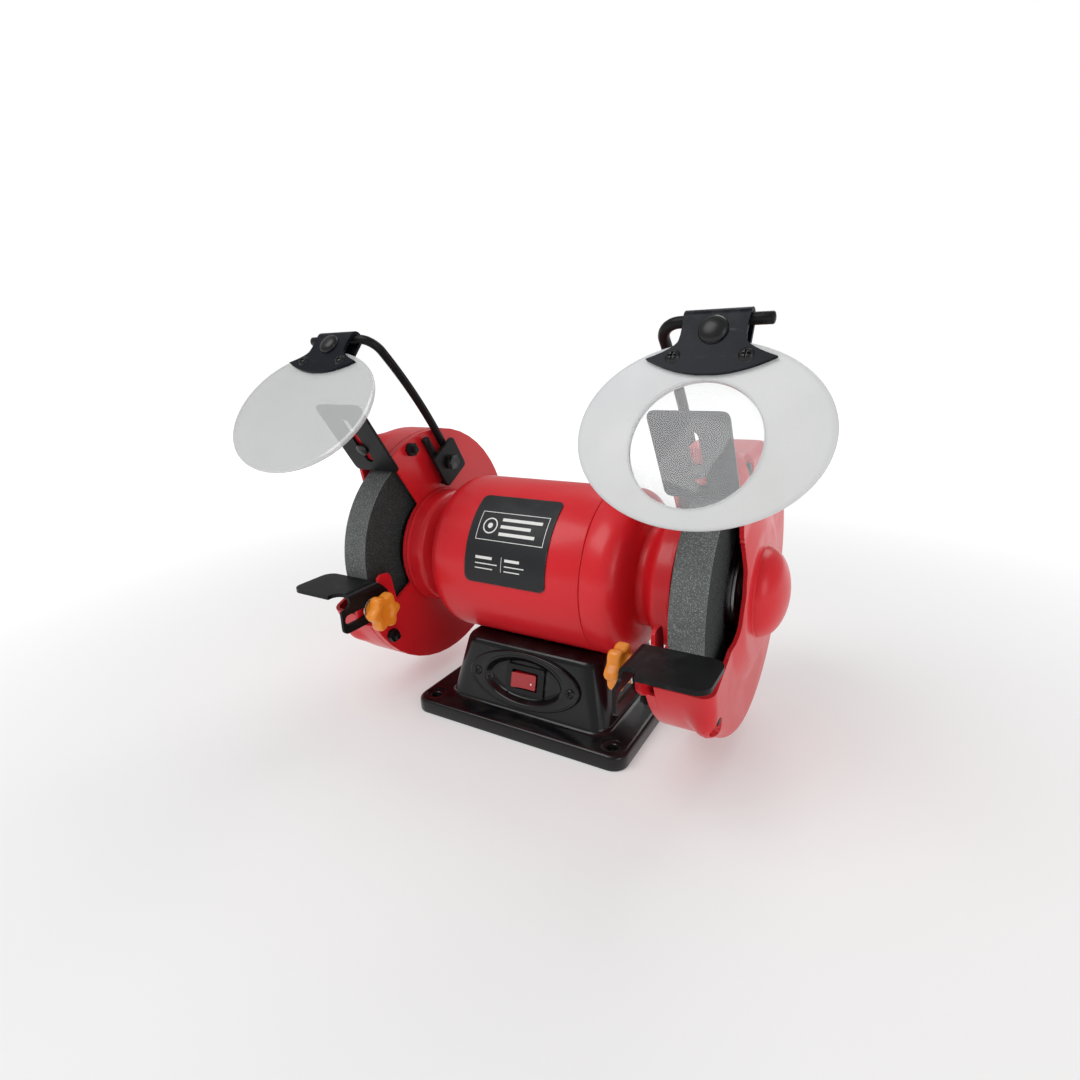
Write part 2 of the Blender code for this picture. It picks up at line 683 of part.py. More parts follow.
def build_motor():
    """Housing with its left end, the right end cover and the fixed parts inside."""
    bore = MOTOR_RADIUS - MOTOR_WALL
    centre = (0, 0, SHAFT_HEIGHT)
    left = motor_end_outer(-1.0) + motor_end_inner(-1.0)
    profile = left + [(MOTOR_SEAM, bore), (MOTOR_SEAM, MOTOR_RADIUS)]
    housing = solid("motor_housing", revolve(profile), red_paint(), centre)
    wires = slab(circle(WIRE_HOLE_RADIUS), -MOTOR_RADIUS - BASE_WALL, -bore + BASE_WALL, "XY")
    cut(housing, tool("tool_motor_wire_hole", wires, centre))

    right = motor_end_outer(1.0) + motor_end_inner(1.0)
    seam = MOTOR_SEAM + GAP
    profile = right + [(seam, bore), (seam, MOTOR_RADIUS)]
    solid("motor_end_cover", revolve(profile), red_paint(), centre)

    low, high = NAMEPLATE_ANGLES
    inner = MOTOR_RADIUS + GAP
    outer = inner + NAMEPLATE_THICKNESS
    outline = front_arc(inner, low, high, 8) + front_arc(outer, high, low, 8)
    half = NAMEPLATE_WIDTH / 2
    solid("nameplate", slab(outline, NAMEPLATE_CENTRE - half, NAMEPLATE_CENTRE + half),
          black_plastic(), centre)

    half = STATOR_LENGTH / 2
    profile = tube_profile(STATOR_BORE_RADIUS, bore - GAP, -half, half)
    solid("stator_core", revolve(profile), material("lamination", (0.2, 0.2, 0.21), 0.5, 0.8), centre)
    for name, side in SIDES.items():
        build_winding(name, side, centre)
        inner_face = BEARING_OUTER_FACE - BEARING_WIDTH
        profile = tube_profile(BEARING_SEAT_RADIUS, BEARING_OUTER_RADIUS, inner_face, BEARING_OUTER_FACE)
        solid(f"bearing_{name}", revolve(mirrored(side, profile), 24), bright_steel(), centre)
    build_wave_washer(centre)


def build_winding(name, side, centre):
    """One rounded end turn of the stator winding."""
    start = STATOR_LENGTH / 2 + GAP
    end = start + WINDING_OVERHANG
    edge = 0.003
    profile = [(start, WINDING_INNER_RADIUS), (end - edge, WINDING_INNER_RADIUS),
               (end, WINDING_INNER_RADIUS + edge), (end, WINDING_OUTER_RADIUS - edge),
               (end - edge, WINDING_OUTER_RADIUS), (start, WINDING_OUTER_RADIUS)]
    solid(f"stator_winding_{name}", revolve(mirrored(side, profile), 32),
          material("copper_winding", COPPER, 0.4, 0.8), centre)


def build_wave_washer(centre):
    """Spring washer that loads the right-hand bearing."""
    middle = (BEARING_OUTER_FACE + END_WALL_INNER_FACE) / 2
    sheet = 0.0004
    swing = 0.00015
    inner = BEARING_OUTER_RADIUS - 0.004
    rings = []
    for offset, radius in ((-sheet / 2, inner), (sheet / 2, inner),
                           (sheet / 2, BEARING_OUTER_RADIUS), (-sheet / 2, BEARING_OUTER_RADIUS)):
        rings.append([(middle + offset + swing * math.cos(3 * math.atan2(v, u)), u, v)
                      for u, v in circle(radius, 24)])
    solid("wave_washer", loft(rings, closed=True), bright_steel(), centre)


def build_rotor():
    """Shaft, rotor core and everything that spins with them."""
    spin = empty("rotor_axis", (0, 0, SHAFT_HEIGHT))
    seat_inner = BEARING_OUTER_FACE - BEARING_WIDTH - 0.0015
    half = [(SHAFT_HALF_LENGTH, 0.0), (SHAFT_HALF_LENGTH, ARBOR_RADIUS - 0.001),
            (SHAFT_HALF_LENGTH - 0.001, ARBOR_RADIUS), (ARBOR_SHOULDER, ARBOR_RADIUS),
            (ARBOR_SHOULDER, BEARING_SEAT_RADIUS - GAP), (seat_inner, BEARING_SEAT_RADIUS - GAP),
            (seat_inner, SHAFT_RADIUS)]
    profile = mirrored(-1.0, half) + half[::-1]
    solid("rotor_shaft", revolve(profile, 24, closed=False), bright_steel(), parent=spin)

    half_length = STATOR_LENGTH / 2
    ring = ROTOR_RADIUS - 0.002
    bore = SHAFT_RADIUS + GAP
    end = half_length + ROTOR_END_RING
    profile = [(-end, bore), (end, bore), (end, ring), (half_length, ring), (half_length, ROTOR_RADIUS),
               (-half_length, ROTOR_RADIUS), (-half_length, ring), (-end, ring)]
    solid("rotor_core", revolve(profile), material("rotor_iron", (0.35, 0.35, 0.36), 0.4, 0.9), parent=spin)

    bore = ARBOR_RADIUS + GAP
    wheel_outer = WHEEL_INNER_FACE + WHEEL_WIDTH
    for name, side in SIDES.items():
        chamfer = 0.001
        profile = [(WHEEL_INNER_FACE, bore), (wheel_outer, bore), (wheel_outer, WHEEL_RADIUS - chamfer),
                   (wheel_outer - chamfer, WHEEL_RADIUS), (WHEEL_INNER_FACE + chamfer, WHEEL_RADIUS),
                   (WHEEL_INNER_FACE, WHEEL_RADIUS - chamfer)]
        solid(f"grinding_wheel_{name}", revolve(mirrored(side, profile)),
              material("abrasive", WHEEL_GREY, 0.95), parent=spin)
        inner_end = WHEEL_INNER_FACE - GAP
        flanges = (("inner", inner_end, ARBOR_SHOULDER + GAP),
                   ("outer", wheel_outer + GAP, wheel_outer + GAP + FLANGE_THICKNESS))
        for place, contact, far in flanges:
            taper = contact + (far - contact) * 0.5
            profile = [(contact, bore), (contact, FLANGE_RADIUS), (taper, FLANGE_RADIUS),
                       (far, FLANGE_RADIUS * 0.62), (far, bore)]
            solid(f"wheel_flange_{place}_{name}", revolve(mirrored(side, profile), 32),
                  bright_steel(), parent=spin)
        start = wheel_outer + 2 * GAP + FLANGE_THICKNESS
        flats = circle(hexagon(NUT_ACROSS_FLATS), 12)
        low, high = sorted((side * start, side * (start + NUT_THICKNESS)))
        solid(f"arbor_nut_{name}", slab(flats, low, high, holes=[circle(bore, 24)]),
              bright_steel(), parent=spin)


# ---------------------------------------------------------------- guards
def mouth_outline():
    """Outline cut from the outer cover: the open front through which the wheel is used."""
    far = 0.140
    lip = polar(GUARD_RADIUS + 0.010, MOUTH_BOTTOM + math.radians(5.0))
    edge = [polar(far, MOUTH_TOP), polar(0.0785, MOUTH_TOP), (-0.0385, 0.0480), (-0.0362, 0.0380),
            (-0.0375, 0.0260), (-0.0415, 0.0110), (-0.0445, -0.0040), (-0.0455, -0.0175),
            (-0.0540, -0.0185), (-0.0630, -0.0225), (-0.0780, -0.0285), lip]
    return edge + [(-far, lip[1]), (-far, polar(far, MOUTH_TOP)[1])]


def inner_guard_outline():
    """Guard plate with its open front and the ear that carries the tool rest."""
    stud_y, stud_z = REST_AXIS[0], REST_AXIS[1] - SHAFT_HEIGHT
    reach = 0.011
    wheel_clear = -0.0745
    ear = [(stud_y - 0.5 * reach, stud_z - reach), (stud_y - reach, stud_z - 0.5 * reach),
           (stud_y - reach, stud_z + 0.6 * reach), (stud_y - 0.6 * reach, stud_z + reach),
           (wheel_clear, stud_z + reach), (wheel_clear, -0.0055), (wheel_clear + 0.003, -0.0035),
           (-0.0640, -0.0040), (-0.0615, -0.0075), polar(0.0640, MOUTH_BOTTOM)]
    back = front_arc(GUARD_RADIUS, MOUTH_TOP, math.tau + MOUTH_BOTTOM, 36)
    hub = front_arc(GUARD_HUB_RADIUS, MOUTH_BOTTOM, MOUTH_TOP, 8)
    return back + ear + hub


def build_inner_guard(name, side):
    """Pressed inner guard plate with a short lip."""
    centre = (0, 0, SHAFT_HEIGHT)
    bolts = [shift(circle(COVER_BOLT_SHANK_RADIUS + GAP, 12), *polar(COVER_BOLT_RADIUS, angle))
             for angle in COVER_BOLT_ANGLES.values()]
    stud = shift(circle(STUD_RADIUS + GAP, 12), REST_AXIS[0], REST_AXIS[1] - SHAFT_HEIGHT)
    clamp = shift(circle(CLAMP_BOLT_RADIUS + GAP, 12), SHIELD_PIVOT[0], SHIELD_PIVOT[1] - SHAFT_HEIGHT)
    middle = circle(GUARD_HOLE_RADIUS, 24)
    low, high = sorted((side * GUARD_FACE, side * (GUARD_FACE + SHEET)))
    plate = slab(inner_guard_outline(), low, high, holes=[middle, stud, clamp, *bolts])
    guard = solid(f"inner_guard_{name}", plate, red_paint(), centre)
    rim = (front_arc(GUARD_RADIUS, MOUTH_TOP, math.tau + MOUTH_BOTTOM, 36)
           + front_arc(GUARD_RADIUS - SHEET, math.tau + MOUTH_BOTTOM, MOUTH_TOP, 36))
    low, high = sorted((side * (GUARD_FACE + SHEET / 2), side * GUARD_LIP_END))
    join(guard, tool(f"tool_guard_lip_{name}", slab(rim, low, high), centre))


def cover_profile():
    """Section of the outer cover: band, rounded edge, raised disc and dome."""
    start = GUARD_LIP_END + GAP
    face = COVER_FACE
    raised = face + COVER_STEP_HEIGHT
    corner = [(face - COVER_EDGE_ROUND + COVER_EDGE_ROUND * math.sin(t),
               GUARD_RADIUS - COVER_EDGE_ROUND + COVER_EDGE_ROUND * math.cos(t))
              for t in (0.0, math.pi / 4, math.pi / 2)]
    step = [(face, COVER_STEP_RADIUS + 0.004), (raised, COVER_STEP_RADIUS)]
    rise = DOME_TOP - raised
    dome = []
    for i in range(6):
        turn = i / 5 * math.pi / 2
        dome.append((raised + rise * math.sin(turn), DOME_RADIUS * math.cos(turn)))
    outside = [(start, GUARD_RADIUS)] + corner + step + dome

    inner_round = COVER_EDGE_ROUND - SHEET
    inner_corner = [(face - SHEET - inner_round + inner_round * math.sin(t),
                     GUARD_RADIUS - SHEET - inner_round + inner_round * math.cos(t))
                    for t in (0.0, math.pi / 2)]
    inner_step = [(face - SHEET, COVER_STEP_RADIUS + 0.002), (raised - SHEET, COVER_STEP_RADIUS - 0.002)]
    inner_rise = rise
    inner_dome = []
    for i in range(5):
        turn = i / 4 * math.pi / 2
        inner_dome.append((raised - SHEET + inner_rise * math.sin(turn),
                           (DOME_RADIUS - SHEET) * math.cos(turn)))
    inside = [(start, GUARD_RADIUS - SHEET)] + inner_corner + inner_step + inner_dome
    return outside, inside


def build_outer_cover(name, side):
    """Deep pressed cover with its band, mouth, bolt bosses and spark flange."""
    centre = (0, 0, SHAFT_HEIGHT)
    outside, inside = cover_profile()
    profile = mirrored(side, outside[::-1] + inside)
    cover = solid(f"outer_cover_{name}", revolve(profile, closed=False), red_paint(), centre)
    low, high = sorted((side * (GUARD_FACE - SHEET), side * (DOME_TOP + SHEET)))
    cut(cover, tool(f"tool_mouth_{name}", slab(mouth_outline(), low, high), centre))

    for place, angle in COVER_BOLT_ANGLES.items():
        spot = polar(COVER_BOLT_RADIUS, angle)
        boss = circle(COVER_BOSS_RADII[name, place], 24, spot)
        low, high = sorted((side * (COVER_FACE - COVER_BOSS_DEPTH), side * COVER_FACE))
        join(cover, tool(f"tool_boss_{place}_{name}", slab(boss, low, high), centre))
        hole = COVER_BOLT_SHANK_RADIUS + GAP
        seat = COVER_FACE - COVER_RECESS_DEPTH
        rings = [[(side * x, spot[0] + u, spot[1] + v) for u, v in circle(radius)]
                 for x, radius in ((COVER_FACE - 0.03, hole), (seat, hole),
                                   (seat, COVER_RECESS_RADIUS), (COVER_FACE + SHEET, COVER_RECESS_RADIUS))]
        cut(cover, tool(f"tool_recess_{place}_{name}", loft(rings), centre))

    inner, outer = SPARK_FLANGE_RADII
    near, far = SPARK_FLANGE_SETBACK, SPARK_FLANGE_SETBACK + SHEET
    flange = [polar(inner, MOUTH_TOP + near / inner), polar(outer, MOUTH_TOP + near / outer),
              polar(outer, MOUTH_TOP + far / outer), polar(inner, MOUTH_TOP + far / inner)]
    low, high = sorted((side * SPARK_FLANGE_X[0], side * SPARK_FLANGE_X[1]))
    join(cover, tool(f"tool_spark_flange_{name}", slab(flange, low, high), centre))
    hole = shift(circle(SPARK_SCREW_RADIUS + GAP, 12), side * SPARK_SLOT_X, SPARK_SCREW_RADIAL)
    cut(cover, tool(f"tool_spark_hole_{name}", slab(hole, -0.010, 0.010, "XZ"), centre, spark_lean()))


def build_cover_bolts(name, side):
    """Through bolts, each with its nut, that hold a cover to its inner guard."""
    for place, angle in COVER_BOLT_ANGLES.items():
        spot = polar(COVER_BOLT_RADIUS, angle)
        seat = COVER_FACE - COVER_RECESS_DEPTH + GAP
        nut = GUARD_FACE - GAP
        shank = COVER_BOLT_SHANK_RADIUS
        head = COVER_BOLT_HEAD_RADIUS
        flats = hexagon(0.0088)
        stations = ((nut - 0.0075, shank * 0.8), (nut - 0.0065, shank), (nut - 0.0042, shank),
                    (nut - 0.0042, flats), (nut, flats), (nut, shank), (seat, shank), (seat, head),
                    (seat + 0.0022, head), (seat + 0.0030, head * 0.7))
        rings = [[(side * x, spot[0] + u, spot[1] + v) for u, v in circle(radius, 12)]
                 for x, radius in stations]
        solid(f"cover_bolt_{place}_{name}", loft(rings), black_paint(), (0, 0, SHAFT_HEIGHT))


# ---------------------------------------------------------------- spark arrestors
def spark_lean():
    """Turn about X that lays a plate's Z along the mouth's top radius, its front at -Y."""
    return math.pi / 2 - MOUTH_TOP


def build_spark_arrestor(name, side):
    """Slotted plate on the cover's flange, slid in as the wheel wears, with its screw."""
    centre = (0, 0, SHAFT_HEIGHT)
    low_x, high_x = SPARK_PLATE_X
    low_r, high_r = SPARK_PLATE_RADII
    middle = (side * (low_x + high_x) / 2, (low_r + high_r) / 2)
    outline = rounded_rectangle((high_x - low_x) / 2, (high_r - low_r) / 2, SPARK_CORNER, middle)
    slot = [(side * SPARK_SLOT_X + v, u) for u, v in
            stadium(SPARK_SLOT_RADII[0], SPARK_SLOT_RADII[1], SPARK_SLOT_HALF_WIDTH, 12)]
    front = -GAP - SPARK_PLATE_THICKNESS
    solid(f"spark_arrestor_{name}", slab(outline, front, -GAP, "XZ", holes=[slot]), black_paint(),
          centre, spark_lean())
    head = front - GAP
    reach = SPARK_SCREW_RADIUS
    flats = hexagon(0.0080)
    back = SHEET + 0.0008
    stations = ((head - 0.0022, 0.6 * SPARK_SCREW_HEAD_RADIUS), (head - 0.0012, SPARK_SCREW_HEAD_RADIUS),
                (head, SPARK_SCREW_HEAD_RADIUS), (head, reach), (back, reach), (back, flats),
                (back + 0.0035, flats), (back + 0.0035, reach), (back + 0.0055, reach))
    rings = [[(side * SPARK_SLOT_X + u, y, SPARK_SCREW_RADIAL + v) for u, v in circle(radius, 12)]
             for y, radius in stations]
    solid(f"spark_screw_{name}", loft(rings), bright_steel(), centre, spark_lean())


# ---------------------------------------------------------------- tool rests
def rest_plate_outline(side, inner):
    """Plate of the rest, round at its outer corners, with a relief notch beside the leg."""
    back = REST_PLATE_DEPTH / 2
    outer = REST_PLATE_OUTER_X
    corner = REST_PLATE_CORNER
    notch = REST_NOTCH_RADIUS
    points = [(inner, back)]
    points += arc(corner, 0.5 * math.pi, 0.0, 4, (outer - corner, back - corner))
    points += arc(corner, 0.0, -0.5 * math.pi, 4, (outer - corner, corner - back))
    middle = (inner + notch, -back + 0.35 * notch)
    points += [(middle[0] + notch, -back)] + arc(notch, 0.0, math.pi, 8, middle)
    return [(side * u, v) for u, v in points]


def rest_leg_outline(front, back, bottom, top):
    """Leg of the rest: round at the bottom, set back at the top beside the notch."""
    corner = REST_LEG_CORNER
    notch = REST_NOTCH_RADIUS
    points = arc(corner, math.pi, 1.5 * math.pi, 3, (front + corner, bottom + corner))
    points += arc(corner, -0.5 * math.pi, 0.0, 3, (back + REST_LEG_TAIL - corner, bottom + corner))
    points += [(back + REST_LEG_TAIL, top - REST_LEG_TAIL), (back - 0.001, top),
               (front + 1.3 * notch, top), (front + 1.3 * notch, top - notch),
               (front + 0.6 * notch, top - 1.5 * notch), (front, top - 1.7 * notch)]
    return points


def build_tool_rest(name, side):
    """Rest plate with its slotted leg, washer and clamping knob."""
    leg_outer = GUARD_FACE - GAP
    leg_inner = leg_outer - REST_SHEET
    stud_y, stud_z = REST_AXIS
    axis = (0.0, stud_y, stud_z)
    top = REST_PLATE_TOP - stud_z
    under = top - REST_PLATE_SHEET
    back = REST_PLATE_BACK[name] - stud_y
    front = back - REST_PLATE_DEPTH

    plate = shift(rest_plate_outline(side, leg_inner + REST_WELD_STEP), 0.0, (front + back) / 2)
    rest = solid(f"tool_rest_{name}", slab(plate, under, top, "XY"), black_paint(), axis)
    leg = rest_leg_outline(front, back, REST_LEG_BOTTOM - stud_z, top - 0.3 * REST_PLATE_SHEET)
    radius = STUD_RADIUS + STUD_CLEARANCE
    slot = stadium(front + REST_SLOT_MARGIN, back + REST_LEG_TAIL - REST_SLOT_MARGIN, radius, 12)
    low, high = sorted((side * leg_inner, side * leg_outer))
    join(rest, tool(f"tool_rest_leg_{name}", slab(leg, low, high, holes=[slot]), axis))

    washer_outer = leg_inner - GAP
    washer_inner = washer_outer - REST_WASHER_THICKNESS
    low, high = sorted((side * washer_inner, side * washer_outer))
    solid(f"rest_washer_{name}", slab(circle(REST_WASHER_RADIUS, 24), low, high, holes=[circle(radius)]),
          bright_steel(), axis)

    def lobed(angle):
        return KNOB_RADIUS + KNOB_LOBE * math.cos(KNOB_LOBES * angle)

    def lobed_inset(angle):
        return lobed(angle) - 0.0015

    hub_end = washer_inner - GAP
    hub_start = hub_end - KNOB_HUB_LENGTH
    face = hub_start - KNOB_THICKNESS
    rings = axial_rings(side, 36, (face, lobed_inset), (face + 0.0015, lobed), (hub_start - 0.0015, lobed),
                        (hub_start, lobed_inset), (hub_start, KNOB_HUB_RADIUS), (hub_end, KNOB_HUB_RADIUS),
                        (hub_end, STUD_RADIUS), (STUD_END, STUD_RADIUS))
    solid(f"rest_knob_{name}", loft(rings), material("orange_plastic", KNOB_ORANGE, 0.4), axis)


# ---------------------------------------------------------------- eye shields
def rod_path(side):
    """Centre line of the rod in the frame of its clamp: hairpin, long arc, bend, level end."""
    x = side * ROD_PLANE
    turn = ROD_HAIRPIN_RADIUS
    points = [(x, -turn, ROD_STUB), (x, -turn, ROD_STUB / 2)]
    points += [(x, u, v) for u, v in arc(turn, math.pi, 2 * math.pi, 10)]
    points.append((x, turn, ROD_STRAIGHT))
    centre_y = turn - ROD_ARC_RADIUS
    points += [(x, centre_y + u, ROD_STRAIGHT + v) for u, v in arc(ROD_ARC_RADIUS, 0.0, ROD_ARC_ANGLE, 9)][1:]
    start = Vector(points[-1])
    along = Vector((0.0, -math.sin(ROD_ARC_ANGLE), math.cos(ROD_ARC_ANGLE)))
    across = Vector((side, 0.0, 0.0))
    for i in range(1, 7):
        bend = i / 6 * math.pi / 2
        points.append(tuple(start + along * ROD_BEND_RADIUS * math.sin(bend)
                            + across * ROD_BEND_RADIUS * (1 - math.cos(bend))))
    level = points[-1]
    points.append((side * ROD_END_X, level[1], level[2]))
    return points


def build_shield_rod(name, side):
    """Bent rod, its clamp plate and clamp bolt; gives the guide that turns with the rod."""
    pivot_y, pivot_z = SHIELD_PIVOT
    pivot = empty(f"shield_pivot_{name}", (0.0, pivot_y, pivot_z), ROD_LEAN)
    curve = bpy.data.curves.new(f"shield_rod_{name}", "CURVE")
    curve.dimensions = "3D"
    curve.bevel_depth = ROD_RADIUS
    curve.bevel_resolution = 2
    curve.use_fill_caps = True
    points = rod_path(side)
    spline = curve.splines.new("POLY")
    spline.points.add(len(points) - 1)
    for slot, point in zip(spline.points, points):
        slot.co = (*point, 1.0)
    curve.materials.append(black_paint())
    rod = bpy.data.objects.new(f"shield_rod_{name}", curve)
    bpy.context.scene.collection.objects.link(rod)
    rod.parent = pivot

    half = CLAMP_SIZE / 2
    inner = ROD_PLANE - ROD_RADIUS - GAP
    outer = inner - CLAMP_SHEET
    outline = rounded_rectangle(half, half, 0.003)
    hole = circle(CLAMP_BOLT_RADIUS + GAP, 12)
    low, high = sorted((side * inner, side * outer))
    clamp = solid(f"rod_clamp_{name}", slab(outline, low, high, holes=[hole]), black_paint(), parent=pivot)
    low, high = sorted((side * (inner - CLAMP_SHEET / 2), side * (GUARD_FACE - GAP)))
    lip = [(-half + 0.003, -half), (half - 0.003, -half), (half - 0.003, -half + CLAMP_SHEET / 2),
           (-half + 0.003, -half + CLAMP_SHEET / 2)]
    join(clamp, tool(f"tool_clamp_lip_{name}", slab(lip, low, high), parent=pivot))

    flats = hexagon(CLAMP_BOLT_FLATS)
    head = outer - GAP
    nut = GUARD_FACE + SHEET + GAP
    shank = CLAMP_BOLT_RADIUS
    rings = axial_rings(side, 12, (head - CLAMP_BOLT_HEAD, flats), (head, flats), (head, shank),
                        (nut, shank), (nut, flats), (nut + CLAMP_NUT_THICKNESS, flats))
    solid(f"clamp_bolt_{name}", loft(rings), black_paint(), (0.0, pivot_y, pivot_z))
    level = points[-1]
    return pivot, (level[1], level[2])


def bracket_stations():
    """Stations along the bent bracket sheet: half width, outward and upward positions of both faces."""
    near = ROD_RADIUS + GAP
    far = near + BRACKET_SHEET
    top = BRACKET_TOP_HALF
    stations = [(top, near, -BRACKET_TAIL_DROP, far, -BRACKET_TAIL_DROP)]
    for (u, v), (p, q) in zip(arc(near, 0.0, math.pi, 10), arc(far, 0.0, math.pi, 10)):
        stations.append((top, u, v, p, q))
    wing, wing_drop = BRACKET_WING_HALF, BRACKET_WING_DROP
    outline = [(top - 0.0005, 0.6 * BRACKET_NECK_DROP), (top + 0.0005, BRACKET_NECK_DROP),
               ((top + wing) / 2, BRACKET_NECK_DROP + 0.0040), (wing, wing_drop)]
    sag = BRACKET_BOTTOM_DROP - wing_drop
    for share in (0.30, 0.55, 0.75, 0.90, 1.0):
        outline.append((wing * math.sqrt(1.0 - 0.98 * share), wing_drop + sag * share))
    stations += [(half, -near, -drop, -far, -drop) for half, drop in outline]
    return stations


def build_shield(name, side, pivot, rod_level):
    """Bracket rolled over the rod, clear shield and clamping bolt."""
    tilt = -SHIELD_TILT[name] - ROD_LEAN
    carrier = empty(f"shield_tilt_{name}", (side * SHIELD_CENTRE_X, *rod_level), tilt, pivot)
    near = ROD_RADIUS + GAP
    far = near + BRACKET_SHEET
    rings = [[(-half, y0, z0), (half, y0, z0), (half, y1, z1), (-half, y1, z1)]
             for half, y0, z0, y1, z1 in bracket_stations()]
    bracket = solid(f"shield_bracket_{name}", loft(rings), black_paint(), parent=carrier)
    hole = shift(circle(BRACKET_BOLT_RADIUS + GAP, 12), 0.0, -BRACKET_BOLT_DROP)
    cut(bracket, tool(f"tool_bracket_hole_{name}", slab(hole, -0.02, 0.02, "XZ"), parent=carrier))

    lens_front = -near + GAP
    drop = -SHIELD_CENTRE_DROP
    outline = shift(ellipse(*SHIELD_HALF, 48), 0.0, drop)
    solid(f"shield_lens_{name}", slab(outline, lens_front, lens_front + SHIELD_THICKNESS, "XZ"),
          clear_plastic(), parent=carrier)
    shank = BRACKET_BOLT_RADIUS
    head = -far - GAP
    reach = BRACKET_BOLT_HEAD_RADIUS
    rise = BRACKET_BOLT_HEAD_RISE
    nut = far + GAP
    flats = hexagon(0.0085)
    stations = ((head - rise, 0.30 * reach), (head - 0.8 * rise, 0.70 * reach), (head - 0.35 * rise, 0.95 * reach),
                (head, reach), (head, shank), (nut, shank), (nut, flats), (nut + 0.0035, flats))
    rings = [[(u, y, v - BRACKET_BOLT_DROP) for u, v in circle(radius, 12)] for y, radius in stations]
    solid(f"bracket_bolt_{name}", loft(rings), black_paint(), parent=carrier)
    if name == "right":
        build_magnifier(carrier, lens_front)


def build_magnifier(carrier, lens_front):
    """Low domed magnifying lens on the right-hand shield."""
    back = lens_front - GAP
    edge = back - MAGNIFIER_EDGE
    crown = edge - MAGNIFIER_CROWN
    stations = ((back, MAGNIFIER_RADIUS), (edge, MAGNIFIER_RADIUS),
                (edge - 0.45 * MAGNIFIER_CROWN, 0.74 * MAGNIFIER_RADIUS),
                (edge - 0.85 * MAGNIFIER_CROWN, 0.40 * MAGNIFIER_RADIUS), (crown, 0.12 * MAGNIFIER_RADIUS))
    rings = [[(u, y, v - MAGNIFIER_DROP) for u, v in circle(radius, 32)] for y, radius in stations]
    solid("magnifier_lens", loft(rings), clear_plastic(), parent=carrier)


# ---------------------------------------------------------------- assembly
def main():
    clear_scene()
    build_base()
    build_bottom_cover()
    build_switch()
    build_base_fittings()
    build_motor()
    build_rotor()
    for name, side in SIDES.items():
        build_inner_guard(name, side)
        build_outer_cover(name, side)
        build_cover_bolts(name, side)
        build_spark_arrestor(name, side)
        build_tool_rest(name, side)
        pivot, rod_level = build_shield_rod(name, side)
        build_shield(name, side, pivot, rod_level)


main()
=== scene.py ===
"""Looks of a six inch bench grinder: enamelled castings, pressed guards, wheels and clear shields.

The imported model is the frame: its nodes give every place and every joint. Each sub-assembly below is a
class that works out fine surfaces with numpy, gives them their finish and lets them ride on their body.
Metres, +Z up, +X along the shaft to the right-hand wheel, and the user stands on the -Y side.
"""

import json
import logging
import math
from dataclasses import dataclass
from enum import Enum

import bmesh
import bpy
import numpy as np
from mathutils import Matrix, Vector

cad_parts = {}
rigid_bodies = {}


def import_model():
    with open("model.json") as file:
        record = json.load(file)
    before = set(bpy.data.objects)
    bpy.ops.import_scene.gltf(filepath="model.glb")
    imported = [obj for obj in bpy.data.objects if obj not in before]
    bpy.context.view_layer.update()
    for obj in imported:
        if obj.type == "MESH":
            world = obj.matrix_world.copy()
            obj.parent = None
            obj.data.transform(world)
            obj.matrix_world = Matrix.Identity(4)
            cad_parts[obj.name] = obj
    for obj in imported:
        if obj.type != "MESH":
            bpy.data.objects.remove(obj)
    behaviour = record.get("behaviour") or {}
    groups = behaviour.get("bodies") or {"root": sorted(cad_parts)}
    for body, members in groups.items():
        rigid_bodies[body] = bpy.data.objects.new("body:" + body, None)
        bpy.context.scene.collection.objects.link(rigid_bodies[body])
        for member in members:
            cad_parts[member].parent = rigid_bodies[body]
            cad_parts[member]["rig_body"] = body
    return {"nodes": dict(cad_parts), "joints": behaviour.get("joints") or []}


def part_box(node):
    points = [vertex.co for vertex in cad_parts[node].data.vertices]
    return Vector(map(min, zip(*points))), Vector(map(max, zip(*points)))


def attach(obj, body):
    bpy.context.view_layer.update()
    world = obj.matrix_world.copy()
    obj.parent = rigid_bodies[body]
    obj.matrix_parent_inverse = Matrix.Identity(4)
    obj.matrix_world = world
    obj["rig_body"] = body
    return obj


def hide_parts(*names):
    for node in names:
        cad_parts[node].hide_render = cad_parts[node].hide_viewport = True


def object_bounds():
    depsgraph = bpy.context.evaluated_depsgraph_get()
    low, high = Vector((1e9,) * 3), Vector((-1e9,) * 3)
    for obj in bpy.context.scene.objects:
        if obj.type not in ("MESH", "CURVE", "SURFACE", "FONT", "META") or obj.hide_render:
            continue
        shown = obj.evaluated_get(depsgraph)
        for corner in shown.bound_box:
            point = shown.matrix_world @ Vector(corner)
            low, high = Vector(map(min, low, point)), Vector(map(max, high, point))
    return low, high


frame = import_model()
CAD_BOX = [list(corner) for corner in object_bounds()]
LOG = logging.getLogger("bench_grinder")
Array = np.ndarray
TAU = math.tau
GAP = 0.0003


class Side(Enum):
    """The two ends of the grinder; the value is the sign of X."""

    LEFT = -1.0
    RIGHT = 1.0

    @property
    def word(self) -> str:
        """Name of the side as the nodes spell it."""
        return self.name.lower()


# ---------------------------------------------------------------- places read from the frame
@dataclass(frozen=True)
class Place:
    """A local frame: an origin and three unit axes, right, back and up."""

    origin: Array
    right: Array
    back: Array
    up: Array

    def put(self, points: Array) -> Array:
        """Carry local points to the model: origin + u right + v back + w up.

        Args:
            points: array whose last axis holds u, v and w.

        Returns:
            The same array of points in the model's frame.
        """
        axes = np.stack([self.right, self.back, self.up])
        return self.origin + points @ axes


def joint_vector(name: str, key: str) -> Array:
    """A joint's vector by its key: pos_m is a point on the axis, and axis is its direction."""
    found = next(joint for joint in frame["joints"] if joint["name"] == name)
    return np.array(found[key], float)


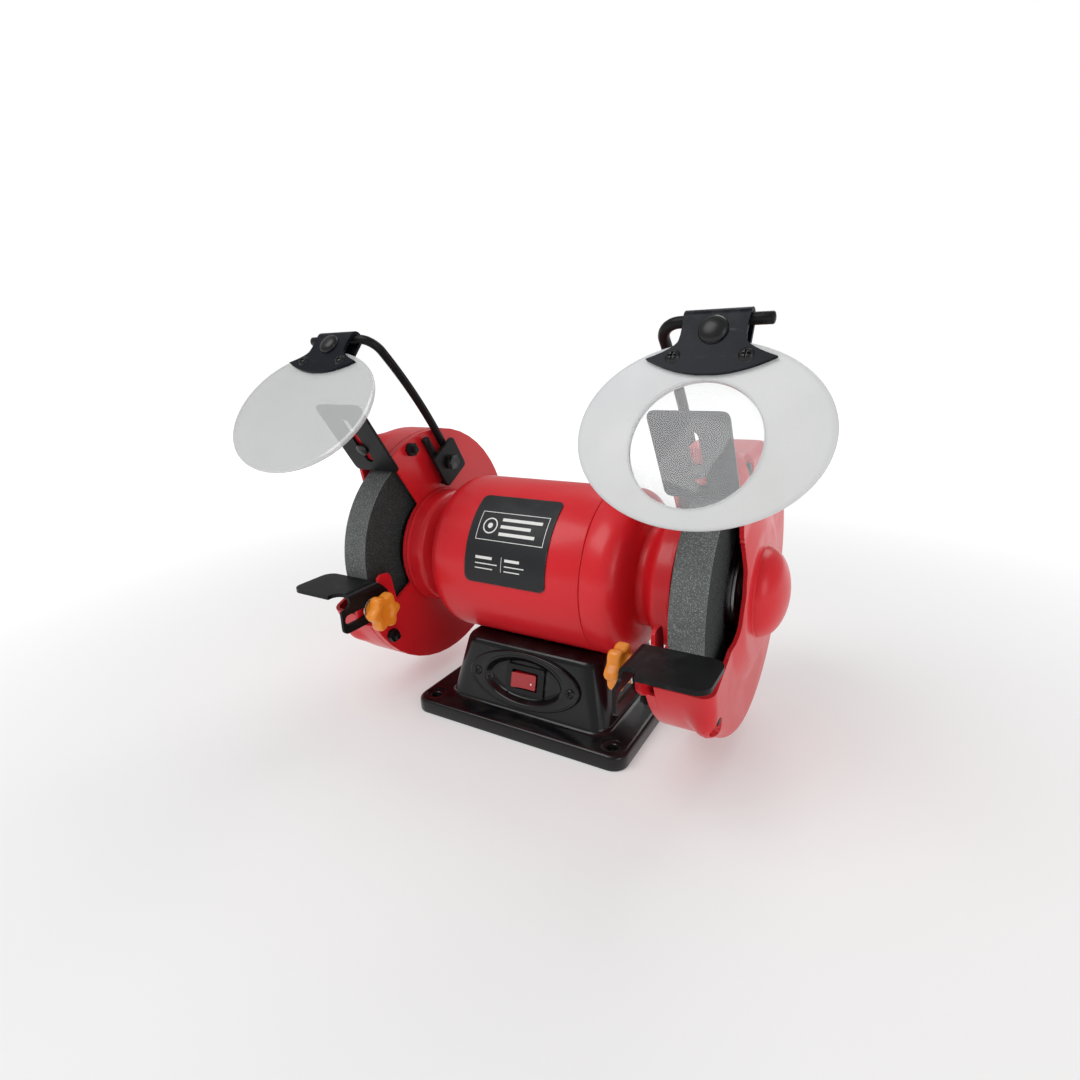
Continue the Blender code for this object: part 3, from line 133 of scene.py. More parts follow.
def joint_origin(name: str) -> Array:
    """Point on the axis of the named joint."""
    return joint_vector(name, "pos_m")


def node_points(name: str) -> Array:
    """All vertices of a CAD node, as rows of x, y and z."""
    mesh = frame["nodes"][name].data
    points = np.empty(len(mesh.vertices) * 3)
    mesh.vertices.foreach_get("co", points)
    return points.reshape(-1, 3)


def node_box(name: str) -> tuple[Array, Array]:
    """Lowest and highest corner of a CAD node."""
    low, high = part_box(name)
    return np.array(low), np.array(high)


def shield_place(side: Side) -> Place:
    """Frame of a shield: on the rod's level axis, up along the plate, its back away from the user.

    The plate's flat direction is the widest direction of its points in the YZ plane.

    Args:
        side: which shield.

    Returns:
        The local frame that its bracket, plate and screws share.
    """
    flat = node_points(f"shield_lens_{side.word}")[:, 1:]
    axes = np.linalg.svd(flat - flat.mean(axis=0), full_matrices=False)[2]
    up = axes[0] * np.sign(axes[0][1])
    origin = joint_origin(f"shield_tilt_{side.word}")
    return Place(origin, np.array([1.0, 0.0, 0.0]), np.array([0.0, up[1], -up[0]]), np.array([0.0, *up]))


def panel_place() -> Place:
    """Frame of the switch panel, on the pedestal's sloping front face."""
    up = joint_vector("switch_rock", "axis")
    low, high = node_box("switch_plate")
    back = np.array([0.0, up[2], -up[1]])
    middle = (low + high) / 2
    face = node_points("switch_plate") @ back
    return Place(middle + back * (face.min() + PLATE_THICKNESS - middle @ back),
                 np.array([1.0, 0.0, 0.0]), back, up)


PLATE_THICKNESS = 0.0025
SHAFT = joint_origin("rotor_spin")


# ---------------------------------------------------------------- numpy surfaces
def fillet(outline: Array, radius: float | Array, steps: int = 4, closed: bool = True) -> Array:
    """Round the corners of an outline.

    Each corner P is replaced by the curve (1-s)^2 A + 2s(1-s) P + s^2 B, where A and B lie on the two
    sides at the tangent length radius / tan(half the corner's angle).

    Args:
        outline: corner points, one row each.
        radius: one radius, or one for each corner.
        steps: spans of each rounded corner.
        closed: whether the last corner joins the first; otherwise the two ends stay sharp.

    Returns:
        The rounded outline.
    """
    outline = np.asarray(outline, float)
    reach = np.broadcast_to(np.asarray(radius, float), (len(outline),)).copy()
    if not closed:
        reach[[0, -1]] = 0.0
    before = np.roll(outline, 1, axis=0) - outline
    after = np.roll(outline, -1, axis=0) - outline
    near = np.linalg.norm(before, axis=1, keepdims=True)
    far = np.linalg.norm(after, axis=1, keepdims=True)
    before, after = before / np.maximum(near, 1e-9), after / np.maximum(far, 1e-9)
    cosine = np.clip((before * after).sum(axis=1), -0.999, 0.999)
    half = np.arccos(cosine) / 2
    length = np.minimum(reach / np.tan(half), 0.48 * np.minimum(near, far)[:, 0])[:, None]
    start, end = outline + before * length, outline + after * length
    share = np.linspace(0.0, 1.0, steps + 1)[None, :, None]
    curve = ((1 - share) ** 2 * start[:, None] + 2 * share * (1 - share) * outline[:, None]
             + share ** 2 * end[:, None]).reshape(-1, outline.shape[1])
    step = np.linalg.norm(np.diff(curve, axis=0), axis=1)
    return curve[np.concatenate([[True], step > 1e-7])]


def densify(outline: Array, spacing: float) -> Array:
    """Add points along an outline's long sides, so that none is longer than the spacing."""
    following = np.roll(outline, -1, axis=0)
    spans = np.maximum(1, np.ceil(np.linalg.norm(following - outline, axis=1) / spacing)).astype(int)
    index = np.repeat(np.arange(len(outline)), spans)
    step = np.arange(len(index)) - np.repeat(np.cumsum(spans) - spans, spans)
    share = (step / spans[index])[:, None]
    return outline[index] * (1 - share) + following[index] * share


def rounded_box(half_u: float, half_v: float, corner: float, steps: int = 8) -> Array:
    """Rectangle outline with round corners, each a quarter circle of the corner radius."""
    turn = np.linspace(0.0, math.pi / 2, steps + 1)
    corners = []
    for index, (su, sv) in enumerate(((1, 1), (-1, 1), (-1, -1), (1, -1))):
        angle = turn + index * math.pi / 2
        corners.append(np.stack([su * (half_u - corner) + corner * np.cos(angle),
                                 sv * (half_v - corner) + corner * np.sin(angle)], axis=1))
    return np.concatenate(corners)


def oval(half_u: float, half_v: float, count: int = 96) -> Array:
    """Ellipse outline (half_u cos t, half_v sin t)."""
    turn = np.linspace(0.0, TAU, count, endpoint=False)
    return np.stack([half_u * np.cos(turn), half_v * np.sin(turn)], axis=1)


def grid_faces(rows: int, columns: int, wrap_rows: bool = False, wrap_columns: bool = True) -> Array:
    """Quads that join a grid of rows x columns points, wrapped round where asked."""
    i = np.arange(rows if wrap_rows else rows - 1)[:, None]
    j = np.arange(columns if wrap_columns else columns - 1)[None, :]
    k, m = (i + 1) % rows, (j + 1) % columns
    return np.stack([i * columns + j, i * columns + m, k * columns + m, k * columns + j], -1).reshape(-1, 4)


@dataclass
class Surface:
    """Points and faces on their way to become a mesh."""

    points: Array
    faces: list[list[int]]

    def __add__(self, other: "Surface") -> "Surface":
        """Both surfaces in one."""
        shift = len(self.points)
        moved = [[index + shift for index in face] for face in other.faces]
        return Surface(np.concatenate([self.points, other.points]), self.faces + moved)


def skin(rings: Array, closed: bool = False) -> Surface:
    """Skin equal rings of points; an open skin has a flat face on each end ring.

    Args:
        rings: array of rings x points x 3.
        closed: whether the last ring joins the first, as on a ring or a shell.

    Returns:
        The closed surface.
    """
    count, around = rings.shape[:2]
    faces = grid_faces(count, around, wrap_rows=closed).tolist()
    if not closed:
        faces.append(list(range(around)))
        faces.append(list(range((count - 1) * around, count * around)))
    return Surface(rings.reshape(-1, 3), faces)


def turned(profile: Array, steps: int = 144, side: float = 1.0, closed: bool = True) -> Surface:
    """Turn a profile of (x, radius) round the shaft: (x, r cos t, r sin t).

    Args:
        profile: points of the section; a closed one is a ring, an open one ends on the axis.
        steps: points round the turn.
        side: sign of X.
        closed: whether the section closes on itself.

    Returns:
        The turned surface, about the shaft.
    """
    turn = np.linspace(0.0, TAU, steps, endpoint=False)
    along = np.broadcast_to(side * profile[:, :1], (len(profile), steps))
    rings = np.stack([along, profile[:, 1:] * np.cos(turn), profile[:, 1:] * np.sin(turn)], axis=-1)
    return skin(rings + SHAFT, closed)


def tube(path: Array, radius: float, around: int = 20, across: Array = np.array([1.0, 0.0, 0.0])) -> Surface:
    """Carry a circle along a path: centre + radius (cos t N + sin t B), its ends rounded.

    N is the given direction made square to the path, or the last good one where they line up, and B is
    the cross product of the path's direction and N.

    Args:
        path: centre points, one row each.
        radius: the bar's radius.
        around: points round the circle.
        across: direction that starts the circle.

    Returns:
        The bar's closed surface.
    """
    ahead = np.gradient(path, axis=0)
    ahead /= np.linalg.norm(ahead, axis=1, keepdims=True)
    normals = []
    normal = np.asarray(across, float)
    for direction in ahead:
        normal = normal - (normal @ direction) * direction
        normal = normal / np.linalg.norm(normal)
        normals.append(normal)
    normals = np.array(normals)
    side = np.cross(ahead, normals)
    round_off = np.array([0.55, 0.85, 1.0])
    inset = radius * np.array([0.0, 0.10, 0.30])
    first = path[0] + ahead[0] * inset[:, None]
    last = path[-1] - ahead[-1] * inset[::-1][:, None]
    centres = np.concatenate([first, path[1:-1], last])
    pick = np.concatenate([[0, 0, 0], np.arange(1, len(path) - 1), [-1, -1, -1]])
    size = np.concatenate([round_off, np.ones(len(path) - 2), round_off[::-1]]) * radius
    turn = np.linspace(0.0, TAU, around, endpoint=False)[None, :, None]
    rings = (centres[:, None] + size[:, None, None]
             * (np.cos(turn) * normals[pick][:, None] + np.sin(turn) * side[pick][:, None]))
    return skin(rings)


def slab(outline: Array, low: float, high: float, edge: float = 0.0004) -> Surface:
    """A plate of the outline between two heights with softened edges, as local (u, v, height).

    The rings run from the low face to the high face, and the outline is scaled towards its middle by
    the edge's width on the outermost rings.

    Args:
        outline: closed outline of (u, v).
        low: height of one face.
        high: height of the other face.
        edge: width of the rounded edge.

    Returns:
        The plate's closed surface.
    """
    middle = outline.mean(axis=0)
    reach = np.abs(outline - middle).max()
    rings = []
    for height, inset in ((low, 1.0), (low + 0.3 * edge, 0.3), (low + edge, 0.0),
                          (high - edge, 0.0), (high - 0.3 * edge, 0.3), (high, 1.0)):
        scaled = middle + (outline - middle) * (1 - inset * edge / reach)
        rings.append(np.column_stack([scaled, np.full(len(scaled), height)]))
    return skin(np.array(rings))


def reorder(surface: Surface, order: tuple[int, int, int], place: Place | None = None) -> Surface:
    """Swap a surface's axes, then carry it to a place."""
    points = surface.points[:, list(order)]
    return Surface(place.put(points) if place else points, surface.faces)


# ---------------------------------------------------------------- shared shader groups
@dataclass(frozen=True)
class Socket:
    """One named input or output of a shader group."""

    name: str
    kind: str = "NodeSocketFloat"
    value: float | tuple[float, ...] | None = None
    output: bool = False


class ShaderGroup:
    """A node group built once, with helpers that add and join its nodes."""

    def __init__(self, name: str, sockets: list[Socket]) -> None:
        """Make the group and its sockets.

        Args:
            name: the group's name.
            sockets: its inputs and outputs, in order.
        """
        self.tree = bpy.data.node_groups.new(name, "ShaderNodeTree")
        for socket in sockets:
            made = self.tree.interface.new_socket(socket.name, in_out="OUTPUT" if socket.output else "INPUT",
                                                  socket_type=socket.kind)
            if socket.value is not None:
                made.default_value = socket.value
        self.given = self.tree.nodes.new("NodeGroupInput")
        self.result = self.tree.nodes.new("NodeGroupOutput")

    def node(self, kind: str, **settings: object) -> bpy.types.Node:
        """Add a node and set its properties or input defaults."""
        return add_node(self.tree, kind, **settings)

    def join(self, source: bpy.types.NodeSocket, target: bpy.types.NodeSocket) -> None:
        """Link two sockets."""
        self.tree.links.new(source, target)

    def noise(self, scale: bpy.types.NodeSocket | float, detail: float,
              **settings: object) -> bpy.types.Node:
        """A noise texture over object coordinates, whose scale is a number or an input."""
        texture = self.node("ShaderNodeTexNoise", Detail=detail, **settings)
        place = self.node("ShaderNodeTexCoord")
        self.join(place.outputs["Object"], texture.inputs["Vector"])
        if isinstance(scale, bpy.types.NodeSocket):
            self.join(scale, texture.inputs["Scale"])
        else:
            texture.inputs["Scale"].default_value = scale
        return texture

    def math(self, operation: str, first: object, second: object = 0.0) -> bpy.types.NodeSocket:
        """A math node on two sockets or numbers; gives its output."""
        made = self.node("ShaderNodeMath", operation=operation)
        for slot, value in zip(made.inputs, (first, second)):
            if isinstance(value, bpy.types.NodeSocket):
                self.join(value, slot)
            else:
                slot.default_value = value
        return made.outputs[0]

    def blend(self, share: bpy.types.NodeSocket, first: object, second: object) -> bpy.types.NodeSocket:
        """Mix two colours, each a socket or four numbers; gives the mixed colour."""
        made = self.node("ShaderNodeMix", data_type="RGBA")
        self.join(share, made.inputs["Factor"])
        for name, value in (("A", first), ("B", second)):
            if isinstance(value, bpy.types.NodeSocket):
                self.join(value, made.inputs[name])
            else:
                made.inputs[name].default_value = value
        return made.outputs["Result"]

    def give(self, **results: bpy.types.NodeSocket) -> None:
        """Join sockets to the group's outputs by name."""
        for name, source in results.items():
            self.join(source, self.result.inputs[name.replace("_", " ")])

    def remap(self, value: bpy.types.NodeSocket, low: float, high: float,
              out_low: float = 0.0, out_high: float = 1.0) -> bpy.types.NodeSocket:
        """Stretch a range to another one, smoothly and clamped."""
        made = self.node("ShaderNodeMapRange", interpolation_type="SMOOTHSTEP")
        self.join(value, made.inputs["Value"])
        for name, number in (("From Min", low), ("From Max", high), ("To Min", out_low),
                             ("To Max", out_high)):
            made.inputs[name].default_value = number
        return made.outputs["Result"]


def add_node(tree: bpy.types.NodeTree, kind: str, **settings: object) -> bpy.types.Node:
    """Add a node to a tree.

    Args:
        tree: the node tree.
        kind: the node's type.
        settings: properties, or the defaults of inputs by name.

    Returns:
        The new node.
    """
    made = tree.nodes.new(kind)
    for name, value in settings.items():
        if hasattr(made, name):
            setattr(made, name, value)
        else:
            made.inputs[name.replace("_", " ")].default_value = value
    return made


def build_tone_group() -> bpy.types.NodeTree:
    """Colour variation: base colour moved towards a second one by broad cloudy noise and fine specks."""
    group = ShaderGroup("tone_variation", [
        Socket("Base", "NodeSocketColor", (0.5, 0.5, 0.5, 1.0)),
        Socket("Second", "NodeSocketColor", (0.4, 0.4, 0.4, 1.0)),
        Socket("Patch Scale", value=18.0), Socket("Amount", value=0.5),
        Socket("Color", "NodeSocketColor", output=True)])
    patch = group.noise(group.given.outputs["Patch Scale"], 3.0)
    speck = group.noise(900.0, 1.0)
    cloudy = group.remap(patch.outputs["Fac"], 0.35, 0.70)
    fine = group.remap(speck.outputs["Fac"], 0.55, 0.75, 0.0, 0.25)
    share = group.math("MULTIPLY", group.math("ADD", cloudy, fine), group.given.outputs["Amount"])
    group.give(Color=group.blend(share, group.given.outputs["Base"], group.given.outputs["Second"]))
    return group.tree


def build_wear_group() -> bpy.types.NodeTree:
    """Edge wear: a mask where the surface turns sharply, broken up by noise."""
    group = ShaderGroup("edge_wear", [
        Socket("Color", "NodeSocketColor", (0.5, 0.5, 0.5, 1.0)),
        Socket("Worn", "NodeSocketColor", (0.6, 0.6, 0.6, 1.0)),
        Socket("Amount", value=0.4), Socket("Break Up", value=160.0),
        Socket("Color Out", "NodeSocketColor", output=True), Socket("Mask", output=True)])
    sharp = group.node("ShaderNodeNewGeometry")
    edge = group.remap(sharp.outputs["Pointiness"], 0.52, 0.60)
    noise = group.noise(group.given.outputs["Break Up"], 4.0)
    broken = group.remap(noise.outputs["Fac"], 0.46, 0.62)
    mask = group.math("MULTIPLY", group.math("MULTIPLY", edge, broken), group.given.outputs["Amount"])
    group.give(Color_Out=group.blend(mask, group.given.outputs["Color"], group.given.outputs["Worn"]),
               Mask=mask)
    return group.tree


DUST_TONE = (0.34, 0.33, 0.31, 1.0)


def build_dust_group() -> bpy.types.NodeTree:
    """Grinding dust: a thin pale layer on faces that look up, broken by noise."""
    group = ShaderGroup("settled_dust", [
        Socket("Color", "NodeSocketColor", (0.5, 0.5, 0.5, 1.0)),
        Socket("Roughness", value=0.4), Socket("Amount", value=0.1),
        Socket("Color Out", "NodeSocketColor", output=True), Socket("Roughness Out", output=True)])
    facing = group.node("ShaderNodeNewGeometry")
    split = group.node("ShaderNodeSeparateXYZ")
    group.join(facing.outputs["Normal"], split.inputs["Vector"])
    up = group.remap(split.outputs["Z"], 0.35, 1.0)
    noise = group.noise(70.0, 5.0)
    broken = group.remap(noise.outputs["Fac"], 0.40, 0.72)
    mask = group.math("MULTIPLY", group.math("MULTIPLY", up, broken), group.given.outputs["Amount"])
    rough = group.math("ADD", group.given.outputs["Roughness"], group.math("MULTIPLY", mask, 0.5))
    group.give(Color_Out=group.blend(mask, group.given.outputs["Color"], DUST_TONE), Roughness_Out=rough)
    return group.tree


def build_skin_group() -> bpy.types.NodeTree:
    """Surface skin: a height of orange-peel ripple plus fine grain, and a roughness with smudges."""
    group = ShaderGroup("surface_skin", [
        Socket("Ripple Scale", value=220.0), Socket("Grain Scale", value=1500.0),
        Socket("Grain Share", value=0.3), Socket("Roughness", value=0.3), Socket("Smudge", value=0.1),
        Socket("Height", output=True), Socket("Roughness Out", output=True)])
    ripple = group.noise(group.given.outputs["Ripple Scale"], 1.5)
    grain = group.noise(group.given.outputs["Grain Scale"], 2.0)
    fine = group.math("MULTIPLY", grain.outputs["Fac"], group.given.outputs["Grain Share"])
    height = group.math("ADD", ripple.outputs["Fac"], fine)
    smudge = group.noise(32.0, 6.0, Distortion=0.6)
    patch = group.remap(smudge.outputs["Fac"], 0.40, 0.66)
    rough = group.math("ADD", group.given.outputs["Roughness"],
                       group.math("MULTIPLY", patch, group.given.outputs["Smudge"]))
    group.give(Height=height, Roughness_Out=rough)
    return group.tree


def build_grit_group() -> bpy.types.NodeTree:
    """Bonded abrasive: cells of grain in two greys with bright facets, and their height.

    Cells come from a Voronoi texture, and each cell's random colour picks a dark, a mid or a bright grain.
    """
    group = ShaderGroup("bonded_grit", [
        Socket("Bond", "NodeSocketColor", (0.1, 0.1, 0.1, 1.0)),
        Socket("Grain", "NodeSocketColor", (0.3, 0.3, 0.3, 1.0)),
        Socket("Sparkle", "NodeSocketColor", (0.6, 0.6, 0.6, 1.0)), Socket("Grit Scale", value=1300.0),
        Socket("Color", "NodeSocketColor", output=True), Socket("Height", output=True)])
    place = group.node("ShaderNodeTexCoord")
    cells = group.node("ShaderNodeTexVoronoi")
    group.join(place.outputs["Object"], cells.inputs["Vector"])
    group.join(group.given.outputs["Grit Scale"], cells.inputs["Scale"])
    split = group.node("ShaderNodeSeparateColor")
    group.join(cells.outputs["Color"], split.inputs["Color"])
    cloud = group.noise(55.0, 3.0)
    tone = group.math("ADD", split.outputs["Red"], group.remap(cloud.outputs["Fac"], 0.3, 0.7, -0.15, 0.15))
    grain = group.blend(group.remap(tone, 0.25, 0.80), group.given.outputs["Bond"],
                        group.given.outputs["Grain"])
    color = group.blend(group.remap(split.outputs["Green"], 0.80, 0.98), grain,
                        group.given.outputs["Sparkle"])
    dip = group.math("MULTIPLY", cells.outputs["Distance"], -0.8)
    group.give(Color=color, Height=group.math("ADD", split.outputs["Blue"], dip))
    return group.tree


GROUPS: dict[str, bpy.types.NodeTree] = {}


def group_node(tree: bpy.types.NodeTree, name: str, **values: object) -> bpy.types.Node:
    """Place a shared group in a material and set its inputs by name."""
    builders = {"tone_variation": build_tone_group, "edge_wear": build_wear_group,
                "settled_dust": build_dust_group, "surface_skin": build_skin_group,
                "bonded_grit": build_grit_group}
    if name not in GROUPS:
        GROUPS[name] = builders[name]()
    made = tree.nodes.new("ShaderNodeGroup")
    made.node_tree = GROUPS[name]
    for key, value in values.items():
        made.inputs[key.replace("_", " ")].default_value = value
    return made


# ---------------------------------------------------------------- finishes
Colour = tuple[float, float, float]


def rgba(colour: Colour) -> tuple[float, float, float, float]:
    """A colour with full alpha."""
    return (*colour, 1.0)


@dataclass(frozen=True)
class Finish:
    """A surface finish: tone, skin, wear and dust laid over one Principled shader.

    The dust and wear masks feed the colour and the roughness; the skin's height feeds a Bump node.
    """

    name: str
    slot: str
    base: Colour
    second: Colour
    roughness: float = 0.35
    metallic: float = 0.0
    coat: float = 0.0
    coat_roughness: float = 0.1
    specular: float = 0.5
    patch_scale: float = 18.0
    variation: float = 0.4
    ripple_scale: float = 220.0
    grain_scale: float = 1500.0
    grain_share: float = 0.3
    bump: float = 0.05
    bump_depth: float = 0.0004
    smudge: float = 0.10
    worn: Colour = (0.45, 0.45, 0.46)
    wear: float = 0.3
    dust: float = 0.06
    alpha: float = 1.0

    def material(self) -> bpy.types.Material:
        """The finish as a material, made on first use."""
        found = bpy.data.materials.get(self.name)
        if found:
            return found
        made = bpy.data.materials.new(self.name)
        made.use_nodes = True
        tree = made.node_tree
        shader = tree.nodes["Principled BSDF"]
        for socket, value in (("Metallic", self.metallic), ("Coat Weight", self.coat),
                              ("Coat Roughness", self.coat_roughness), ("Alpha", self.alpha),
                              ("Specular IOR Level", self.specular)):
            shader.inputs[socket].default_value = value
        self.dress(tree, shader)
        return made

    def dress(self, tree: bpy.types.NodeTree, shader: bpy.types.Node) -> None:
        """Lay tone, wear, dust and skin on the shader."""
        tone = group_node(tree, "tone_variation", Base=rgba(self.base), Second=rgba(self.second),
                          Patch_Scale=self.patch_scale, Amount=self.variation)
        wear = group_node(tree, "edge_wear", Worn=rgba(self.worn), Amount=self.wear)
        dust = group_node(tree, "settled_dust", Amount=self.dust)
        face = group_node(tree, "surface_skin", Ripple_Scale=self.ripple_scale, Grain_Scale=self.grain_scale,
                          Grain_Share=self.grain_share, Roughness=self.roughness, Smudge=self.smudge)
        bump = add_node(tree, "ShaderNodeBump", Strength=self.bump, Distance=self.bump_depth)
        for source, target in ((tone.outputs["Color"], wear.inputs["Color"]),
                               (wear.outputs["Color Out"], dust.inputs["Color"]),
                               (dust.outputs["Color Out"], shader.inputs["Base Color"]),
                               (face.outputs["Roughness Out"], dust.inputs["Roughness"]),
                               (dust.outputs["Roughness Out"], shader.inputs["Roughness"]),
                               (face.outputs["Height"], bump.inputs["Height"]),
                               (bump.outputs["Normal"], shader.inputs["Normal"])):
            tree.links.new(source, target)


@dataclass(frozen=True)
class AbrasiveFinish(Finish):
    """Bonded grit: its own cells give the colour and the height."""

    bond: Colour = (0.05, 0.053, 0.05)
    sparkle: Colour = (0.42, 0.43, 0.42)
    grit_scale: float = 1300.0

    def dress(self, tree: bpy.types.NodeTree, shader: bpy.types.Node) -> None:
        """Lay the grit's colour and height on the shader."""
        grit = group_node(tree, "bonded_grit", Bond=rgba(self.bond), Grain=rgba(self.base),
                          Sparkle=rgba(self.sparkle), Grit_Scale=self.grit_scale)
        shader.inputs["Roughness"].default_value = self.roughness
        bump = add_node(tree, "ShaderNodeBump", Strength=self.bump, Distance=self.bump_depth)
        tree.links.new(grit.outputs["Color"], shader.inputs["Base Color"])
        tree.links.new(grit.outputs["Height"], bump.inputs["Height"])
        tree.links.new(bump.outputs["Normal"], shader.inputs["Normal"])


RED_ENAMEL = Finish(
    "red_enamel", "red_paint", (0.70, 0.016, 0.024), (0.62, 0.011, 0.017), roughness=0.30, coat=0.12,
    coat_roughness=0.12, specular=0.30, ripple_scale=260.0, bump=0.08, bump_depth=0.0003,
    worn=(0.34, 0.05, 0.045), wear=0.35, dust=0.03, patch_scale=9.0, smudge=0.06)
BLACK_ENAMEL = Finish(
    "black_enamel", "black_paint", (0.0045, 0.0048, 0.006), (0.008, 0.008, 0.009), roughness=0.16,
    coat=0.1, coat_roughness=0.08, specular=0.32, ripple_scale=300.0, bump=0.10, bump_depth=0.0003,
    worn=(0.06, 0.06, 0.06), wear=0.35, dust=0.03)
SATIN_BLACK = Finish(
    "satin_black_paint", "black_paint", (0.006, 0.0062, 0.007), (0.009, 0.009, 0.010), roughness=0.36,
    specular=0.16, ripple_scale=420.0, bump=0.12, bump_depth=0.0003, worn=(0.09, 0.09, 0.09), wear=0.12,
    dust=0.006, smudge=0.04)
BRACKET_BLACK = Finish(
    "bracket_black_paint", "black_paint", (0.0035, 0.0045, 0.009), (0.006, 0.007, 0.012),
    roughness=0.30, specular=0.12, ripple_scale=420.0, bump=0.10, bump_depth=0.0003,
    worn=(0.10, 0.10, 0.11), wear=0.4, dust=0.008, smudge=0.04)
BLACK_MOULDING = Finish(
    "black_moulding", "black_plastic", (0.006, 0.006, 0.007), (0.010, 0.010, 0.011), roughness=0.30,
    specular=0.3, ripple_scale=700.0, grain_scale=2600.0, grain_share=0.8, bump=0.10, bump_depth=0.0002,
    worn=(0.06, 0.06, 0.06), wear=0.25, dust=0.06)
BLACKENED_SCREW = Finish(
    "blackened_screw", "black_paint", (0.012, 0.012, 0.013), (0.022, 0.022, 0.022), roughness=0.26,
    metallic=0.3, specular=0.4, bump=0.08, worn=(0.26, 0.26, 0.26), wear=0.5, dust=0.02)
LABEL_BLACK = Finish(
    "label_black", "black_plastic", (0.015, 0.016, 0.018), (0.019, 0.020, 0.022), roughness=0.42,
    specular=0.3, grain_scale=2200.0, grain_share=0.6, bump=0.04, bump_depth=0.0002,
    worn=(0.10, 0.10, 0.10), wear=0.3, dust=0.04)
WHITE_PRINT = Finish(
    "white_print", "black_plastic", (0.82, 0.82, 0.80), (0.72, 0.72, 0.70), roughness=0.5, bump=0.02,
    wear=0.0, dust=0.0)
ORANGE_MOULDING = Finish(
    "orange_moulding", "orange_plastic", (0.90, 0.29, 0.018), (0.80, 0.235, 0.014), roughness=0.33,
    specular=0.55, ripple_scale=520.0, grain_scale=2400.0, grain_share=0.7, bump=0.10,
    bump_depth=0.0002, worn=(0.95, 0.45, 0.12), wear=0.35)
RED_ROCKER = Finish(
    "red_rocker", "red_plastic", (0.40, 0.004, 0.010), (0.34, 0.003, 0.008), roughness=0.16, coat=0.4,
    coat_roughness=0.05, bump=0.03, worn=(0.7, 0.06, 0.05), wear=0.2, dust=0.02)
RUBBER = Finish(
    "black_rubber_moulding", "black_rubber", (0.016, 0.016, 0.016), (0.028, 0.028, 0.028),
    roughness=0.68, grain_scale=1900.0, grain_share=1.0, bump=0.20, bump_depth=0.0003,
    worn=(0.09, 0.09, 0.09), wear=0.3, dust=0.12)
ZINC = Finish(
    "zinc_plated_steel", "bright_steel", (0.62, 0.62, 0.62), (0.50, 0.51, 0.52), roughness=0.26,
    metallic=1.0, ripple_scale=900.0, bump=0.10, bump_depth=0.0002, worn=(0.80, 0.80, 0.79), wear=0.5,
    dust=0.03, smudge=0.16)
BLOTTER = Finish(
    "blotter_card", "black_paint", (0.011, 0.011, 0.013), (0.020, 0.020, 0.022), roughness=0.24,
    coat=0.4, coat_roughness=0.1, bump=0.08, worn=(0.12, 0.12, 0.12), wear=0.2)
COPPER = Finish(
    "enamelled_copper", "copper_winding", (0.56, 0.20, 0.075), (0.38, 0.12, 0.045), roughness=0.28,
    metallic=0.9, ripple_scale=1400.0, grain_scale=3000.0, grain_share=1.0, bump=0.5, bump_depth=0.0006,
    wear=0.0, dust=0.0)
LAMINATION = Finish(
    "stacked_lamination", "lamination", (0.16, 0.16, 0.17), (0.24, 0.23, 0.22), roughness=0.45,
    metallic=0.8, ripple_scale=900.0, bump=0.3, wear=0.4, dust=0.0)
ROTOR_IRON = Finish(
    "rotor_iron", "rotor_iron", (0.33, 0.33, 0.34), (0.26, 0.26, 0.27), roughness=0.36, metallic=0.9,
    ripple_scale=700.0, bump=0.2, wear=0.3, dust=0.0)
WHEEL_SIDE = AbrasiveFinish(
    "abrasive_side", "abrasive", (0.046, 0.051, 0.050), (0.05, 0.05, 0.05), roughness=0.92,
    specular=0.2, bond=(0.030, 0.034, 0.034), sparkle=(0.12, 0.13, 0.13), bump=0.5, bump_depth=0.0003,
    grit_scale=3000.0)
WHEEL_RIM = AbrasiveFinish(
    "abrasive_rim", "abrasive", (0.165, 0.180, 0.175), (0.1, 0.1, 0.1), roughness=0.9, specular=0.2,
    bond=(0.115, 0.125, 0.122), sparkle=(0.40, 0.42, 0.41), bump=0.5, bump_depth=0.0003,
    grit_scale=2900.0)
CLEAR_SHEET = Finish(
    "clear_sheet", "clear_plastic", (0.60, 0.61, 0.61), (0.55, 0.56, 0.56), roughness=0.05,
    specular=0.7, coat=0.6, coat_roughness=0.03, bump=0.01, wear=0.0, dust=0.02, alpha=0.62, smudge=0.06)
FROSTED_SHEET = Finish(
    "frosted_sheet", "clear_plastic", (0.68, 0.685, 0.68), (0.56, 0.61, 0.66), roughness=0.34,
    specular=0.5, grain_scale=1800.0, grain_share=0.8, bump=0.05, bump_depth=0.0002, wear=0.0,
    dust=0.02, alpha=0.90, patch_scale=7.0, variation=0.8)
MAGNIFIER_GLASS = Finish(
    "magnifier_sheet", "clear_plastic", (0.66, 0.67, 0.68), (0.62, 0.63, 0.64), roughness=0.04,
    specular=0.7, coat=0.8, coat_roughness=0.03, bump=0.01, wear=0.0, dust=0.0, alpha=0.20, smudge=0.03)


# ---------------------------------------------------------------- pieces
def mesh_of(name: str, surface: Surface, sharp: float) -> bpy.types.Mesh:
    """Turn a surface into a closed mesh with its faces outwards.

    Args:
        name: the mesh's name.
        surface: its points and faces.
        sharp: edges that turn more than this many degrees stay sharp.

    Returns:
        The mesh, with coincident points merged.
    """
    mesh = bpy.data.meshes.new(name)
    mesh.from_pydata(surface.points.tolist(), [], surface.faces)
    return tidy_mesh(mesh, sharp)


